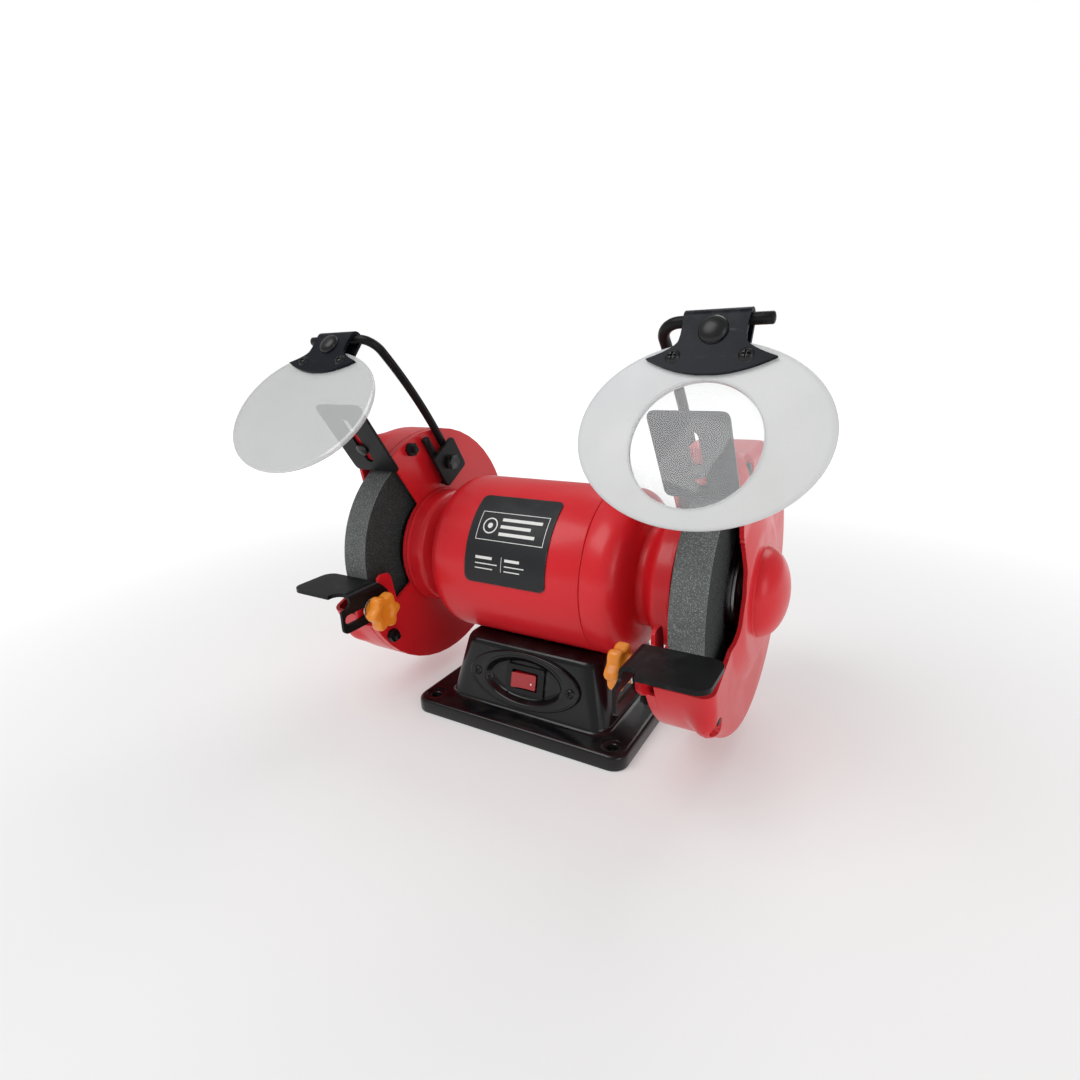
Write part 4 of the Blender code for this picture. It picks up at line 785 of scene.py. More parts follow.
def tidy_mesh(mesh: bpy.types.Mesh, sharp: float) -> bpy.types.Mesh:
    """Merge doubles, turn the faces outwards and shade smooth up to the sharp angle."""
    data = bmesh.new()
    data.from_mesh(mesh)
    bmesh.ops.remove_doubles(data, verts=data.verts, dist=2e-6)
    bmesh.ops.dissolve_degenerate(data, edges=data.edges, dist=1e-6)
    bmesh.ops.recalc_face_normals(data, faces=data.faces)
    data.to_mesh(mesh)
    data.free()
    mesh.shade_smooth()
    mesh.set_sharp_from_angle(angle=math.radians(sharp))
    return mesh


def piece(name: str, surface: Surface, finish: Finish, body: str, *nodes: str, sharp: float = 40.0,
          bevel: float = 0.0) -> bpy.types.Object:
    """Make a piece of the object.

    Args:
        name: the piece's name.
        surface: its points and faces in the model's frame.
        finish: its finish.
        body: the body that it rides on.
        nodes: the CAD nodes that it stands for.
        sharp: edges that turn more than this many degrees stay sharp.
        bevel: width of a small round on its sharp edges.

    Returns:
        The new object.
    """
    made = bpy.data.objects.new(name, mesh_of(name, surface, sharp))
    return settle(made, finish, body, nodes, bevel)


def settle(made: bpy.types.Object, finish: Finish, body: str, nodes: tuple[str, ...],
           bevel: float) -> bpy.types.Object:
    """Link an object, dress it and let it ride on its body."""
    bpy.context.scene.collection.objects.link(made)
    made.data.materials.clear()
    made.data.materials.append(finish.material())
    if bevel:
        add_bevel(made, bevel)
    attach(made, body)
    if nodes:
        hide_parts(*nodes)
    LOG.info("made %s", made.name)
    return made


def add_bevel(made: bpy.types.Object, width: float, segments: int = 2, angle: float = 30.0) -> None:
    """Round a piece's sharp edges with a Bevel modifier."""
    rounding = made.modifiers.new("edge_round", "BEVEL")
    rounding.width = width
    rounding.segments = segments
    rounding.limit_method = "ANGLE"
    rounding.angle_limit = math.radians(angle)
    rounding.harden_normals = True
    rounding.use_clamp_overlap = True


def cut_away(made: bpy.types.Object, cutter: Surface, finish: Finish, sharp: float) -> None:
    """Cut a surface out of a piece, apply the cut, then lay the finish and the shading anew.

    Args:
        made: the piece.
        cutter: the closed surface to take out.
        finish: the piece's finish, which the cut faces get too.
        sharp: edges that turn more than this many degrees stay sharp.
    """
    tool = bpy.data.objects.new("cutter", mesh_of("cutter", cutter, 40.0))
    bpy.context.scene.collection.objects.link(tool)
    change = made.modifiers.new("cut", "BOOLEAN")
    change.solver = "EXACT"
    change.operation = "DIFFERENCE"
    change.object = tool
    graph = bpy.context.evaluated_depsgraph_get()
    result = bpy.data.meshes.new_from_object(made.evaluated_get(graph))
    made.modifiers.clear()
    made.data = result
    bpy.data.objects.remove(tool, do_unlink=True)
    result.materials.clear()
    result.materials.append(finish.material())
    result.shade_smooth()
    result.set_sharp_from_angle(angle=math.radians(sharp))


def finer_node(node: str, finish: Finish, bevel: float = 0.0003, sharp: float = 35.0) -> bpy.types.Object:
    """A merged, smooth-shaded and edge-rounded copy of a CAD node that stands for it.

    Args:
        node: the node's name.
        finish: the copy's finish.
        bevel: width of the round on its sharp edges.
        sharp: edges that turn more than this many degrees count as sharp.

    Returns:
        The copy.
    """
    source = frame["nodes"][node]
    made = bpy.data.objects.new(f"{node}_finished", source.data.copy())
    made.data.name = f"{node}_finished"
    if made.data.attributes.get("custom_normal"):
        made.data.attributes.remove(made.data.attributes["custom_normal"])
    tidy_mesh(made.data, sharp)
    return settle(made, finish, source["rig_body"], (node,), bevel)


def cross_head(name: str, place: Place, radius: float, rise: float, body: str,
               *nodes: str, shank: tuple[float, float] | None = None) -> bpy.types.Object:
    """A pan-head screw with a cross recess, its head towards the place's front.

    The head is the turned curve (r, rise * (1 - (r/R)^3)), and the recess is two crossed grooves whose
    depth falls off with the distance from each groove's middle line.

    Args:
        name: the piece's name.
        place: frame on the seat, its back axis pointing into the work.
        radius: radius of the head.
        rise: height of the head.
        body: the body that it rides on.
        nodes: the CAD nodes that it stands for.
        shank: radius and length of the shank, if any.

    Returns:
        The screw.
    """
    count = 72
    reach = np.concatenate([np.linspace(0.0, 0.62, 16), np.linspace(0.66, 1.0, 10)]) * radius
    turn = np.linspace(0.0, TAU, count, endpoint=False)
    across, up = reach[:, None] * np.cos(turn), reach[:, None] * np.sin(turn)
    height = rise * (1 - (reach / radius) ** 3.5)[:, None] * np.ones(count)
    half = 0.13 * radius
    arm = 0.60 * radius
    depth = np.zeros_like(height)
    for along, off in ((across, up), (up, across)):
        groove = np.clip((half - np.abs(off)) / (0.35 * half), 0.0, 1.0)
        groove = groove * np.clip((arm - np.abs(along)) / (0.2 * radius), 0.0, 1.0)
        depth = np.maximum(depth, groove)
    height = height - 0.75 * rise * depth
    head = np.stack([across, -height, up], axis=-1)
    rim = np.stack([across[-1], np.zeros(count), up[-1]], axis=-1)[None]
    rings = [head, rim]
    if shank:
        for size, deep in ((shank[0], 0.0), (shank[0], shank[1])):
            rings.append(np.stack([size * np.cos(turn), np.full(count, deep), size * np.sin(turn)],
                                  -1)[None])
    return piece(name, skinned_in(place, np.concatenate(rings)), BLACKENED_SCREW, body, *nodes, sharp=50.0)


def cutter_rings(outline: Array, low: float, high: float, axis: int = 1) -> Array:
    """An outline repeated at two heights along an axis, as the two rings of a cutter."""
    return np.stack([np.insert(outline, axis, depth, axis=1) for depth in (low, high)])


def skinned_in(place: Place, rings: Array, closed: bool = False) -> Surface:
    """Skin local rings and carry them to a place."""
    return skin(place.put(rings), closed)


# ---------------------------------------------------------------- motor
@dataclass
class Motor:
    """Barrel with its left end, the right end cover, the label and what is inside."""

    radius: float = 0.0571
    wall: float = 0.0048
    seam: float = 0.048
    shoulder: tuple[float, float] = (0.058, 0.0755)
    neck_radius: float = 0.034
    neck_end: float = 0.0825
    flare_run: float = 0.0065
    collar_radius: float = 0.0436
    flange_radius: float = 0.045
    flange_thickness: float = 0.0022
    shaft_hole: float = 0.0095
    pocket: float = 0.0178
    pocket_floor: float = 0.0973
    pocket_mouth: float = 0.0768
    seam_round: float = 0.0007

    def end_profile(self) -> Array:
        """Section of one end, from the barrel over shoulder, neck and flange to the inside of the bore.

        The shoulder is the superellipse x = a + run (1 - (1 - sin t)^1.15), r = R - drop (1 - cos t)^1.1.
        """
        length = node_box("motor_end_cover")[1][0]
        turn = np.linspace(0.0, math.pi / 2, 22)
        run = self.shoulder[1] - self.shoulder[0]
        drop = self.radius - self.neck_radius
        shoulder = np.column_stack([self.shoulder[0] + run * (1 - (1 - np.sin(turn)) ** 1.15),
                                    self.radius - drop * (1 - np.cos(turn)) ** 1.1])
        flare = fillet([shoulder[-1], (self.neck_end, self.neck_radius),
                        (self.neck_end + self.flare_run, self.collar_radius),
                        (length - self.flange_thickness, self.collar_radius + 0.0006),
                        (length - self.flange_thickness, self.flange_radius), (length, self.flange_radius),
                        (length, self.shaft_hole)],
                       [0.0, 0.0050, 0.0060, 0.0004, 0.0005, 0.0005, 0.0], 10, closed=False)
        bore = self.radius - self.wall
        inside = fillet([(length, self.shaft_hole), (self.pocket_floor, self.shaft_hole),
                         (self.pocket_floor, self.pocket), (self.pocket_mouth, self.pocket),
                         (self.pocket_mouth, self.pocket + 0.007),
                         (self.shoulder[0] + 0.010, self.neck_radius),
                         (self.shoulder[0] + 0.002, bore - 0.006), (self.shoulder[0] - 0.003, bore)],
                        0.0004, 2, closed=False)
        return np.concatenate([shoulder[:-1], flare, inside[1:]])

    def build(self) -> None:
        """Make the castings, the label and the parts inside."""
        end = self.end_profile()
        bore = self.radius - self.wall
        soft = self.seam_round
        lip = [(self.seam, bore), (self.seam, self.radius - soft),
               (self.seam - 0.3 * soft, self.radius - 0.3 * soft),
               (self.seam - soft, self.radius)]
        left = np.concatenate([end * (-1, 1), lip])
        piece("motor_barrel", turned(left), RED_ENAMEL, "frame", "motor_housing", sharp=50.0)
        start = self.seam + GAP
        lip = [(start, bore), (start, self.radius - soft), (start + 0.3 * soft, self.radius - 0.3 * soft),
               (start + soft, self.radius)]
        right = np.concatenate([end, lip])
        piece("motor_end_bell", turned(right), RED_ENAMEL, "frame", "motor_end_cover", sharp=50.0)
        self.build_label()
        finer_node("stator_core", LAMINATION)
        finer_node("wave_washer", ZINC, bevel=0.0)
        finer_node("rotor_shaft", ZINC)
        finer_node("rotor_core", ROTOR_IRON)
        for side in Side:
            self.build_winding(side)
            finer_node(f"bearing_{side.word}", ZINC)

    def build_winding(self, side: Side) -> None:
        """End turns of the winding: a fat ring whose surface ripples with the wires.

        Radius and length are moved by sin(48 t) so that the bundles show round the ring.
        """
        low, high = node_box(f"stator_winding_{side.word}")
        near, far = sorted(np.abs([low[0], high[0]]))
        outer = (high[2] - low[2]) / 2
        inner = 0.0348
        section = fillet([(near, inner), (far, inner), (far, outer), (near, outer)],
                         [0.0005, 0.005, 0.005, 0.0005], 6)
        turn = np.linspace(0.0, TAU, 288, endpoint=False)
        middle = np.array([(near + far) / 2, (inner + outer) / 2])
        swell = 1 - 0.03 * (1 + np.sin(48 * turn))
        grown = middle + (section - middle)[:, None, :] * swell[None, :, None]
        grown[..., 0] = np.maximum(grown[..., 0], near)
        rings = np.stack([side.value * grown[..., 0], grown[..., 1] * np.cos(turn),
                          grown[..., 1] * np.sin(turn)], axis=-1)
        piece(f"winding_end_{side.word}", skin(rings + SHAFT, closed=True), COPPER, "frame",
              f"stator_winding_{side.word}", sharp=60.0)

    def wrapped(self, outline: Array, low: float, high: float) -> Surface:
        """Wrap a flat outline of (x, arc length) round the barrel as a thin plate.

        A point at arc length s lies at angle s / R up from the front: (x, -r cos a, r sin a).

        Args:
            outline: closed outline.
            low: radius of the inner face.
            high: radius of the outer face.

        Returns:
            The curved plate.
        """
        middle = outline.mean(axis=0)
        shrink = np.concatenate([np.linspace(0.0, 1.0, 24), [1.0, 1.0], np.linspace(1.0, 0.0, 24)])
        radius = np.concatenate([np.full(24, low), [low, high], np.full(24, high)])
        spread = middle + (outline - middle)[None] * shrink[:, None, None]
        angle = spread[..., 1] / self.radius
        reach = radius[:, None] * np.ones(len(outline))
        rings = np.stack([spread[..., 0], -reach * np.cos(angle), reach * np.sin(angle)], axis=-1)
        return skin(rings + SHAFT)

    def build_label(self) -> None:
        """Label plate with a plain printed frame, a wheel sign and rows of bars, and no lettering."""
        low, high = node_box("nameplate")
        middle, half = (low[0] + high[0]) / 2, (high[0] - low[0]) / 2
        base = self.radius + GAP
        outer = base + 0.0006
        start, end = math.radians(-1.0) * self.radius, math.radians(62.0) * self.radius
        centre = (start + end) / 2
        outline = densify(rounded_box(half, (end - start) / 2, 0.0042), 0.0012) + (middle, centre)
        piece("label_plate", self.wrapped(outline, base, outer), LABEL_BLACK, "frame", "nameplate",
              sharp=50.0)

        line = 0.00045
        ink_low, ink_high = outer - 0.00003, outer + 0.00004
        left, right = middle - 0.0250, middle + 0.0270
        top, bottom = math.radians(48.0) * self.radius, math.radians(27.7) * self.radius
        bars = [(left, top, right, top - line), (left, bottom + line, right, bottom),
                (left, top, left + line, bottom), (right - line, top, right, bottom)]
        for row, (first, last) in enumerate(((0.18, 0.92), (0.18, 0.78), (0.18, 0.86))):
            level = top - (row + 1) * (top - bottom) / 4
            size = 0.0011
            bars.append((left + first * (right - left) + 0.008, level + size,
                         left + last * (right - left), level - size))
        lower = math.radians(18.0) * self.radius
        bars.append((middle - 0.0021, lower, middle - 0.0018, lower - 0.0100))
        for start_x, width in ((middle - 0.0225, 0.0175), (middle + 0.0005, 0.0150)):
            for row, size in enumerate((0.0018, 0.0007, 0.0007)):
                level = lower - 0.0010 - 0.0032 * row - (0.0012 if row else 0.0)
                bars.append((start_x, level, start_x + width * (0.75, 1.0, 0.8)[row], level - size))
        ink = None
        for x0, s0, x1, s1 in bars:
            box = densify(rounded_box(abs(x1 - x0) / 2, abs(s0 - s1) / 2, 0.0001, 2), 0.0012)
            made = self.wrapped(box + ((x0 + x1) / 2, (s0 + s1) / 2), ink_low, ink_high)
            ink = made if ink is None else ink + made
        for outer_r, inner_r in ((0.0056, 0.0047), (0.0019, 0.0)):
            ink = ink + self.printed_ring((left + 0.0092, (top + bottom) / 2), outer_r, inner_r, ink_low,
                                          ink_high)
        piece("label_print", ink, WHITE_PRINT, "frame", sharp=50.0)

    def printed_ring(self, middle: tuple[float, float], outer: float, inner: float, low: float,
                     high: float) -> Surface:
        """A printed ring or dot: rings of radius inner and outer on both faces, wrapped on the barrel."""
        turn = np.linspace(0.0, TAU, 48, endpoint=False)
        radii = np.array([inner, outer, outer, inner])
        heights = np.array([low, low, high, high])
        x = middle[0] + radii[:, None] * np.cos(turn)
        angle = (middle[1] + radii[:, None] * np.sin(turn)) / self.radius
        reach = heights[:, None] * np.ones(48)
        rings = np.stack([x, -reach * np.cos(angle), reach * np.sin(angle)], axis=-1)
        return skin(rings + SHAFT, closed=inner > 0.0)


# ---------------------------------------------------------------- base and switch
@dataclass
class Base:
    """Cast foot with its pedestal, the sheet below, gland and capacitor."""

    plate_height: float = 0.0107
    corner: float = 0.010
    edge: float = 0.0032
    foot_half: tuple[float, float] = (0.0635, 0.054)
    top_half: tuple[float, float] = (0.0535, 0.043)
    top: float = 0.0560
    pedestal_corner: float = 0.011
    top_round: float = 0.0060
    root_fillet: float = 0.0040
    wall: float = 0.0042
    ledge: float = 0.0023
    saddle_radius: float = 0.0574
    hole_radius: float = 0.0035
    seat_radius: float = 0.0075
    seat_depth: float = 0.0010
    hole_inset: float = 0.0115
    dish_half: tuple[float, float] = (0.0333, 0.0179)
    window_reach: tuple[float, float] = (-0.010, 0.0085)
    cavity_top: float = 0.040
    cavity_corner: float = 0.0068
    sharp: float = 42.0

    def section(self) -> tuple[Array, Array]:
        """Section of the outside from the bench edge to the pedestal's roof.

        Returns:
            Rows of (inset, z), where the inset runs from 0 at the foot's edge to 1 at the pedestal's
            foot and on to 2 at its top, and the matching corner radii.
        """
        run = node_box("base_housing")[1][1] - self.foot_half[1]
        lean = self.foot_half[1] - self.top_half[1]
        profile = fillet([(0.0, 0.0), (0.0, self.plate_height), (run, self.plate_height),
                          (run + lean, self.top), (run + lean + 0.012, self.top)],
                         [0.0, self.edge, self.root_fillet, self.top_round, 0.0], 8, closed=False)
        profile = np.concatenate([[(0.0008, 0.0), (0.0002, 0.0002), (0.0, 0.0008)], profile[1:]])
        corner = np.interp(profile[:, 0], [0.0, run, run + lean, run + lean + 0.012],
                           [self.corner, self.pedestal_corner, self.pedestal_corner, 0.004])
        return profile, corner

    def rings(self) -> Array:
        """Rings of the whole casting, each a rounded rectangle at its own inset and height.

        The X inset is the Y inset scaled so that both foot and pedestal keep their own half widths, and
        the roof follows the motor: z = min(z, H - sqrt(R^2 - y^2)).
        """
        high = node_box("base_housing")[1]
        profile, corner = self.section()
        run = high[1] - self.foot_half[1]
        lean = self.foot_half[1] - self.top_half[1]
        made = []
        for (inset, z), round_off in zip(profile, corner):
            share = np.interp(inset, [0.0, run, run + lean], [0.0, 1.0, 2.0])
            half_x = np.interp(share, [0.0, 1.0, 2.0], [high[0], self.foot_half[0], self.top_half[0]])
            half_x -= max(0.0, inset - run - lean)
            made.append((half_x, high[1] - inset, round_off, z))
        made.append((0.030, 0.018, 0.004, self.top))
        made.append((0.001, 0.001, 0.0005, self.top))
        rings = [np.column_stack([self.outline(hx, hy, c), np.full(4 * 33, z)]) for hx, hy, c, z in made]
        return np.array(rings)

    def outline(self, half_x: float, half_y: float, corner: float) -> Array:
        """Rounded rectangle with extra points along its sides, so that the roof can bend."""
        base = rounded_box(half_x, half_y, min(corner, 0.95 * half_x, 0.95 * half_y), 8)
        filled = []
        for index in range(4):
            arc = base[index * 9:(index + 1) * 9]
            following = base[((index + 1) % 4) * 9]
            share = np.linspace(0.0, 1.0, 26)[1:-1, None]
            filled += [arc, arc[-1] * (1 - share) + following * share]
        return np.concatenate(filled)

    def build(self) -> None:
        """Make the casting with its holes, and the fittings."""
        rings = self.rings()
        y = rings[..., 1]
        saddle = SHAFT[2] - np.sqrt(np.maximum(self.saddle_radius ** 2 - y ** 2, 1e-8))
        rings[..., 2] = np.where(rings[..., 2] > 0.03, np.minimum(rings[..., 2], saddle), rings[..., 2])
        foot = np.array(self.foot_half) - self.wall
        roof_half = np.array(self.top_half) - self.wall
        seat = np.array(self.foot_half) - self.wall + 0.004 + GAP
        hollow = np.array([np.column_stack([self.outline(*half, self.cavity_corner),
                                            np.full(rings.shape[1], z)])
                           for half, z in (((0.001, 0.001), self.cavity_top), (roof_half, self.cavity_top),
                                           (foot, self.plate_height), (foot, self.ledge), (seat, self.ledge),
                                           (seat, 0.0))])
        roof = SHAFT[2] - np.sqrt(np.maximum((self.saddle_radius + self.wall) ** 2 - hollow[..., 1] ** 2,
                                             1e-8))
        hollow[..., 2] = np.minimum(hollow[..., 2], roof)
        casting = piece("cast_base", skin(np.concatenate([hollow, rings])), BLACK_ENAMEL, "frame",
                        "base_housing", sharp=self.sharp)
        high = node_box("base_housing")[1]
        for sx in (-1, 1):
            for sy in (-1, 1):
                hole = self.bolt_hole(sx * (high[0] - self.hole_inset), sy * (high[1] - self.hole_inset))
                cut_away(casting, hole, BLACK_ENAMEL, self.sharp)
        window = oval(*self.dish_half, 64)
        cut_away(casting, skinned_in(panel_place(), cutter_rings(window, *self.window_reach)), BLACK_ENAMEL,
                 self.sharp)
        finer_node("bottom_cover", SATIN_BLACK, bevel=0.0002)
        finer_node("run_capacitor", ZINC, bevel=0.0005)
        self.build_gland()

    def bolt_hole(self, x: float, y: float) -> Surface:
        """Cutter for a mounting hole: a shaft under a shallow seat with a softened lip."""
        seat = self.plate_height - self.seat_depth
        profile = np.array([(-0.005, 0.0), (-0.005, self.hole_radius), (seat - 0.0004, self.hole_radius),
                            (seat, self.hole_radius + 0.0004), (seat, self.seat_radius - 0.0004),
                            (seat + 0.0003, self.seat_radius), (seat + 0.012, self.seat_radius),
                            (seat + 0.012, 0.0)])
        turn = np.linspace(0.0, TAU, 40, endpoint=False)
        rings = np.stack([x + profile[:, 1:] * np.cos(turn), y + profile[:, 1:] * np.sin(turn),
                          profile[:, :1] * np.ones(40)], axis=-1)
        return skin(rings)

    def build_gland(self) -> None:
        """Cord gland: a collar and a tapered sleeve with ribs, hollow for the cord.

        The sleeve's radius falls from the collar to the end, and cos(2 pi n s) raises its ribs.
        """
        points = node_points("cord_gland")
        low, high = node_box("cord_gland")
        out = np.array([0.0, math.cos(math.radians(13.65)), math.sin(math.radians(13.65))])
        up = np.array([0.0, -out[2], out[1]])
        reach = points @ out
        origin = (low + high) / 2
        origin = origin + out * (reach.min() - origin @ out)
        place = Place(origin, np.array([1.0, 0.0, 0.0]), out, up)
        length = float(np.ptp(reach))
        collar = 0.0075
        share = np.linspace(0.0, 1.0, 40)
        sleeve = np.column_stack([collar + 0.0022 + (length - collar - 0.0024) * share,
                                  0.0078 - 0.0016 * share + 0.00035 * np.cos(TAU * 5 * share)])
        outside = np.concatenate([[(0.0, 0.0058)],
                                  [(collar, 0.0058), (collar, 0.0081), (collar + 0.0004, 0.0084),
                                                    (collar + 0.0016, 0.0084), (collar + 0.0020, 0.0080)],
                                  sleeve, [(length, 0.0058), (length, 0.0040), (length - 0.0006, 0.0036),
                                           (0.0, 0.0036)]])
        turn = np.linspace(0.0, TAU, 56, endpoint=False)
        rings = np.stack([outside[:, 1:] * np.cos(turn), outside[:, :1] * np.ones(56),
                          outside[:, 1:] * np.sin(turn)], axis=-1)
        piece("ribbed_gland", skinned_in(place, rings, closed=True), RUBBER, "frame", "cord_gland",
              sharp=45.0)


@dataclass
class SwitchPanel:
    """Oval dished plate with a ridge, rocker switch and two cross-head screws."""

    plate_half: tuple[float, float] = (0.044, 0.0200)
    dish_half: tuple[float, float] = (0.0305, 0.0158)
    taper: float = 0.0025
    floor: float = 0.0025
    back_wall: float = 0.0015
    body_half: tuple[float, float] = (0.0130, 0.0083)
    screw_offset: float = 0.0372
    screw_hole: float = 0.0018
    head_radius: float = 0.0032
    rocker_half: tuple[float, float] = (0.0092, 0.0052)
    rocker_rise: float = 0.0032
    rocker_depth: float = 0.0055
    off_angle: float = math.radians(8.0)

    def build(self) -> None:
        """Make the plate, the switch and its screws."""
        place = panel_place()
        self.build_plate(place)
        finer_node("switch_body", BLACK_MOULDING, bevel=0.0005)
        self.build_rocker()
        for word, sign in (("left", -1.0), ("right", 1.0)):
            seat = Place(place.put(np.array([sign * self.screw_offset, -PLATE_THICKNESS - 0.0003, 0.0])),
                         place.right, place.back, place.up)
            cross_head(f"panel_screw_{word}", seat, self.head_radius, 0.0013, "frame",
                       f"switch_plate_screw_{word}", shank=(0.0015, 0.0105))

    def build_plate(self, place: Place) -> None:
        """Plate as rings of ovals from its edge over a ridge into the dish, then back behind.

        Each ring is (a cos t, depth, b sin t); the rings near the dish's rim rise by a small ridge.
        """
        front = -PLATE_THICKNESS
        px, py = self.plate_half
        dx, dy = self.dish_half
        fx, fy = dx - self.taper, dy - self.taper
        wall = self.back_wall
        stations = [(px, py, -0.0001), (px, py, front + 0.0012), (px - 0.0003, py - 0.0003, front + 0.0004),
                    (px - 0.0010, py - 0.0010, front), (px - 0.0016, py - 0.0016, front + 0.00015),
                    (dx + 0.0022, dy + 0.0016, front + 0.00015), (dx + 0.0012, dy + 0.0010, front),
                    (dx + 0.0002, dy + 0.0002, front + 0.0003), (dx - 0.0003, dy - 0.0003, front + 0.0010),
                    (fx + 0.0004, fy + 0.0004, self.floor - 0.0012),
                    (fx - 0.0003, fy - 0.0003, self.floor - 0.0003),
                    (fx - 0.0012, fy - 0.0012, self.floor)]
        rings = [np.insert(oval(a, b, 96), 1, depth, axis=1) for a, b, depth in stations]
        hole = rounded_box(self.body_half[0] + GAP, self.body_half[1] + GAP, 0.001, 23)
        rings += [np.insert(hole, 1, depth, axis=1) for depth in (self.floor, self.floor + wall)]
        rings += [np.insert(oval(a, b, 96), 1, depth, axis=1)
                  for a, b, depth in ((fx + wall, fy + wall, self.floor + wall),
                                      (dx + wall, dy + wall, -0.0001))]
        plate = piece("switch_bezel_plate", skinned_in(place, np.array(rings), closed=True), BLACK_ENAMEL,
                      "frame", "switch_plate", sharp=50.0)
        for sign in (-1.0, 1.0):
            hole = oval(self.screw_hole, self.screw_hole, 24) + (sign * self.screw_offset, 0.0)
            cut_away(plate, skinned_in(place, cutter_rings(hole, -0.006, 0.006)), BLACK_ENAMEL, 50.0)

    def build_rocker(self) -> None:
        """Rocker with a hollow face, and the white dot moulded into its right-hand half.

        The face's depth is a parabola across the rocker: front + 0.0012 (1 - (u/U)^2).
        """
        panel = panel_place()
        axis = joint_origin("switch_rock")
        right = panel.right * math.cos(self.off_angle) + panel.back * math.sin(self.off_angle)
        back = panel.back * math.cos(self.off_angle) - panel.right * math.sin(self.off_angle)
        place = Place(axis, right, back, panel.up)
        half_u, half_w = self.rocker_half
        across = np.linspace(-1.0, 1.0, 33)
        front = -self.rocker_rise + 0.0012 * (1 - across ** 2)
        top = np.column_stack([across * half_u, front])
        base = np.array([(half_u - 0.0020, self.rocker_depth), (-half_u + 0.0020, self.rocker_depth)])
        section = fillet(np.concatenate([top, base]), [0.0005] + [0.0] * 31 + [0.0005, 0.0006, 0.0006], 3)
        middle = section.mean(axis=0)
        rings = []
        for level, inset in ((-1.0, 0.0005), (-0.93, 0.0001), (-0.86, 0.0), (0.86, 0.0), (0.93, 0.0001),
                             (1.0, 0.0005)):
            scale = 1 - inset / half_u
            flat = middle + (section - middle) * scale
            rings.append(np.column_stack([flat, np.full(len(flat), level * half_w)]))
        piece("rocker_cap", skinned_in(place, np.array(rings)), RED_ROCKER, "rocker", "switch_rocker",
              sharp=38.0)
        dot = oval(0.0007, 0.0007, 24) + (0.62 * half_u, -0.25 * half_w)
        depth = -self.rocker_rise + 0.0012 * (1 - 0.62 ** 2)
        dot_rings = np.stack([np.insert(dot, 1, level, axis=1) for level in (depth + 0.0004,
                                                                             depth - 0.00006)])
        piece("rocker_dot", skinned_in(place, dot_rings), WHITE_PRINT, "rocker", bevel=0.00003)


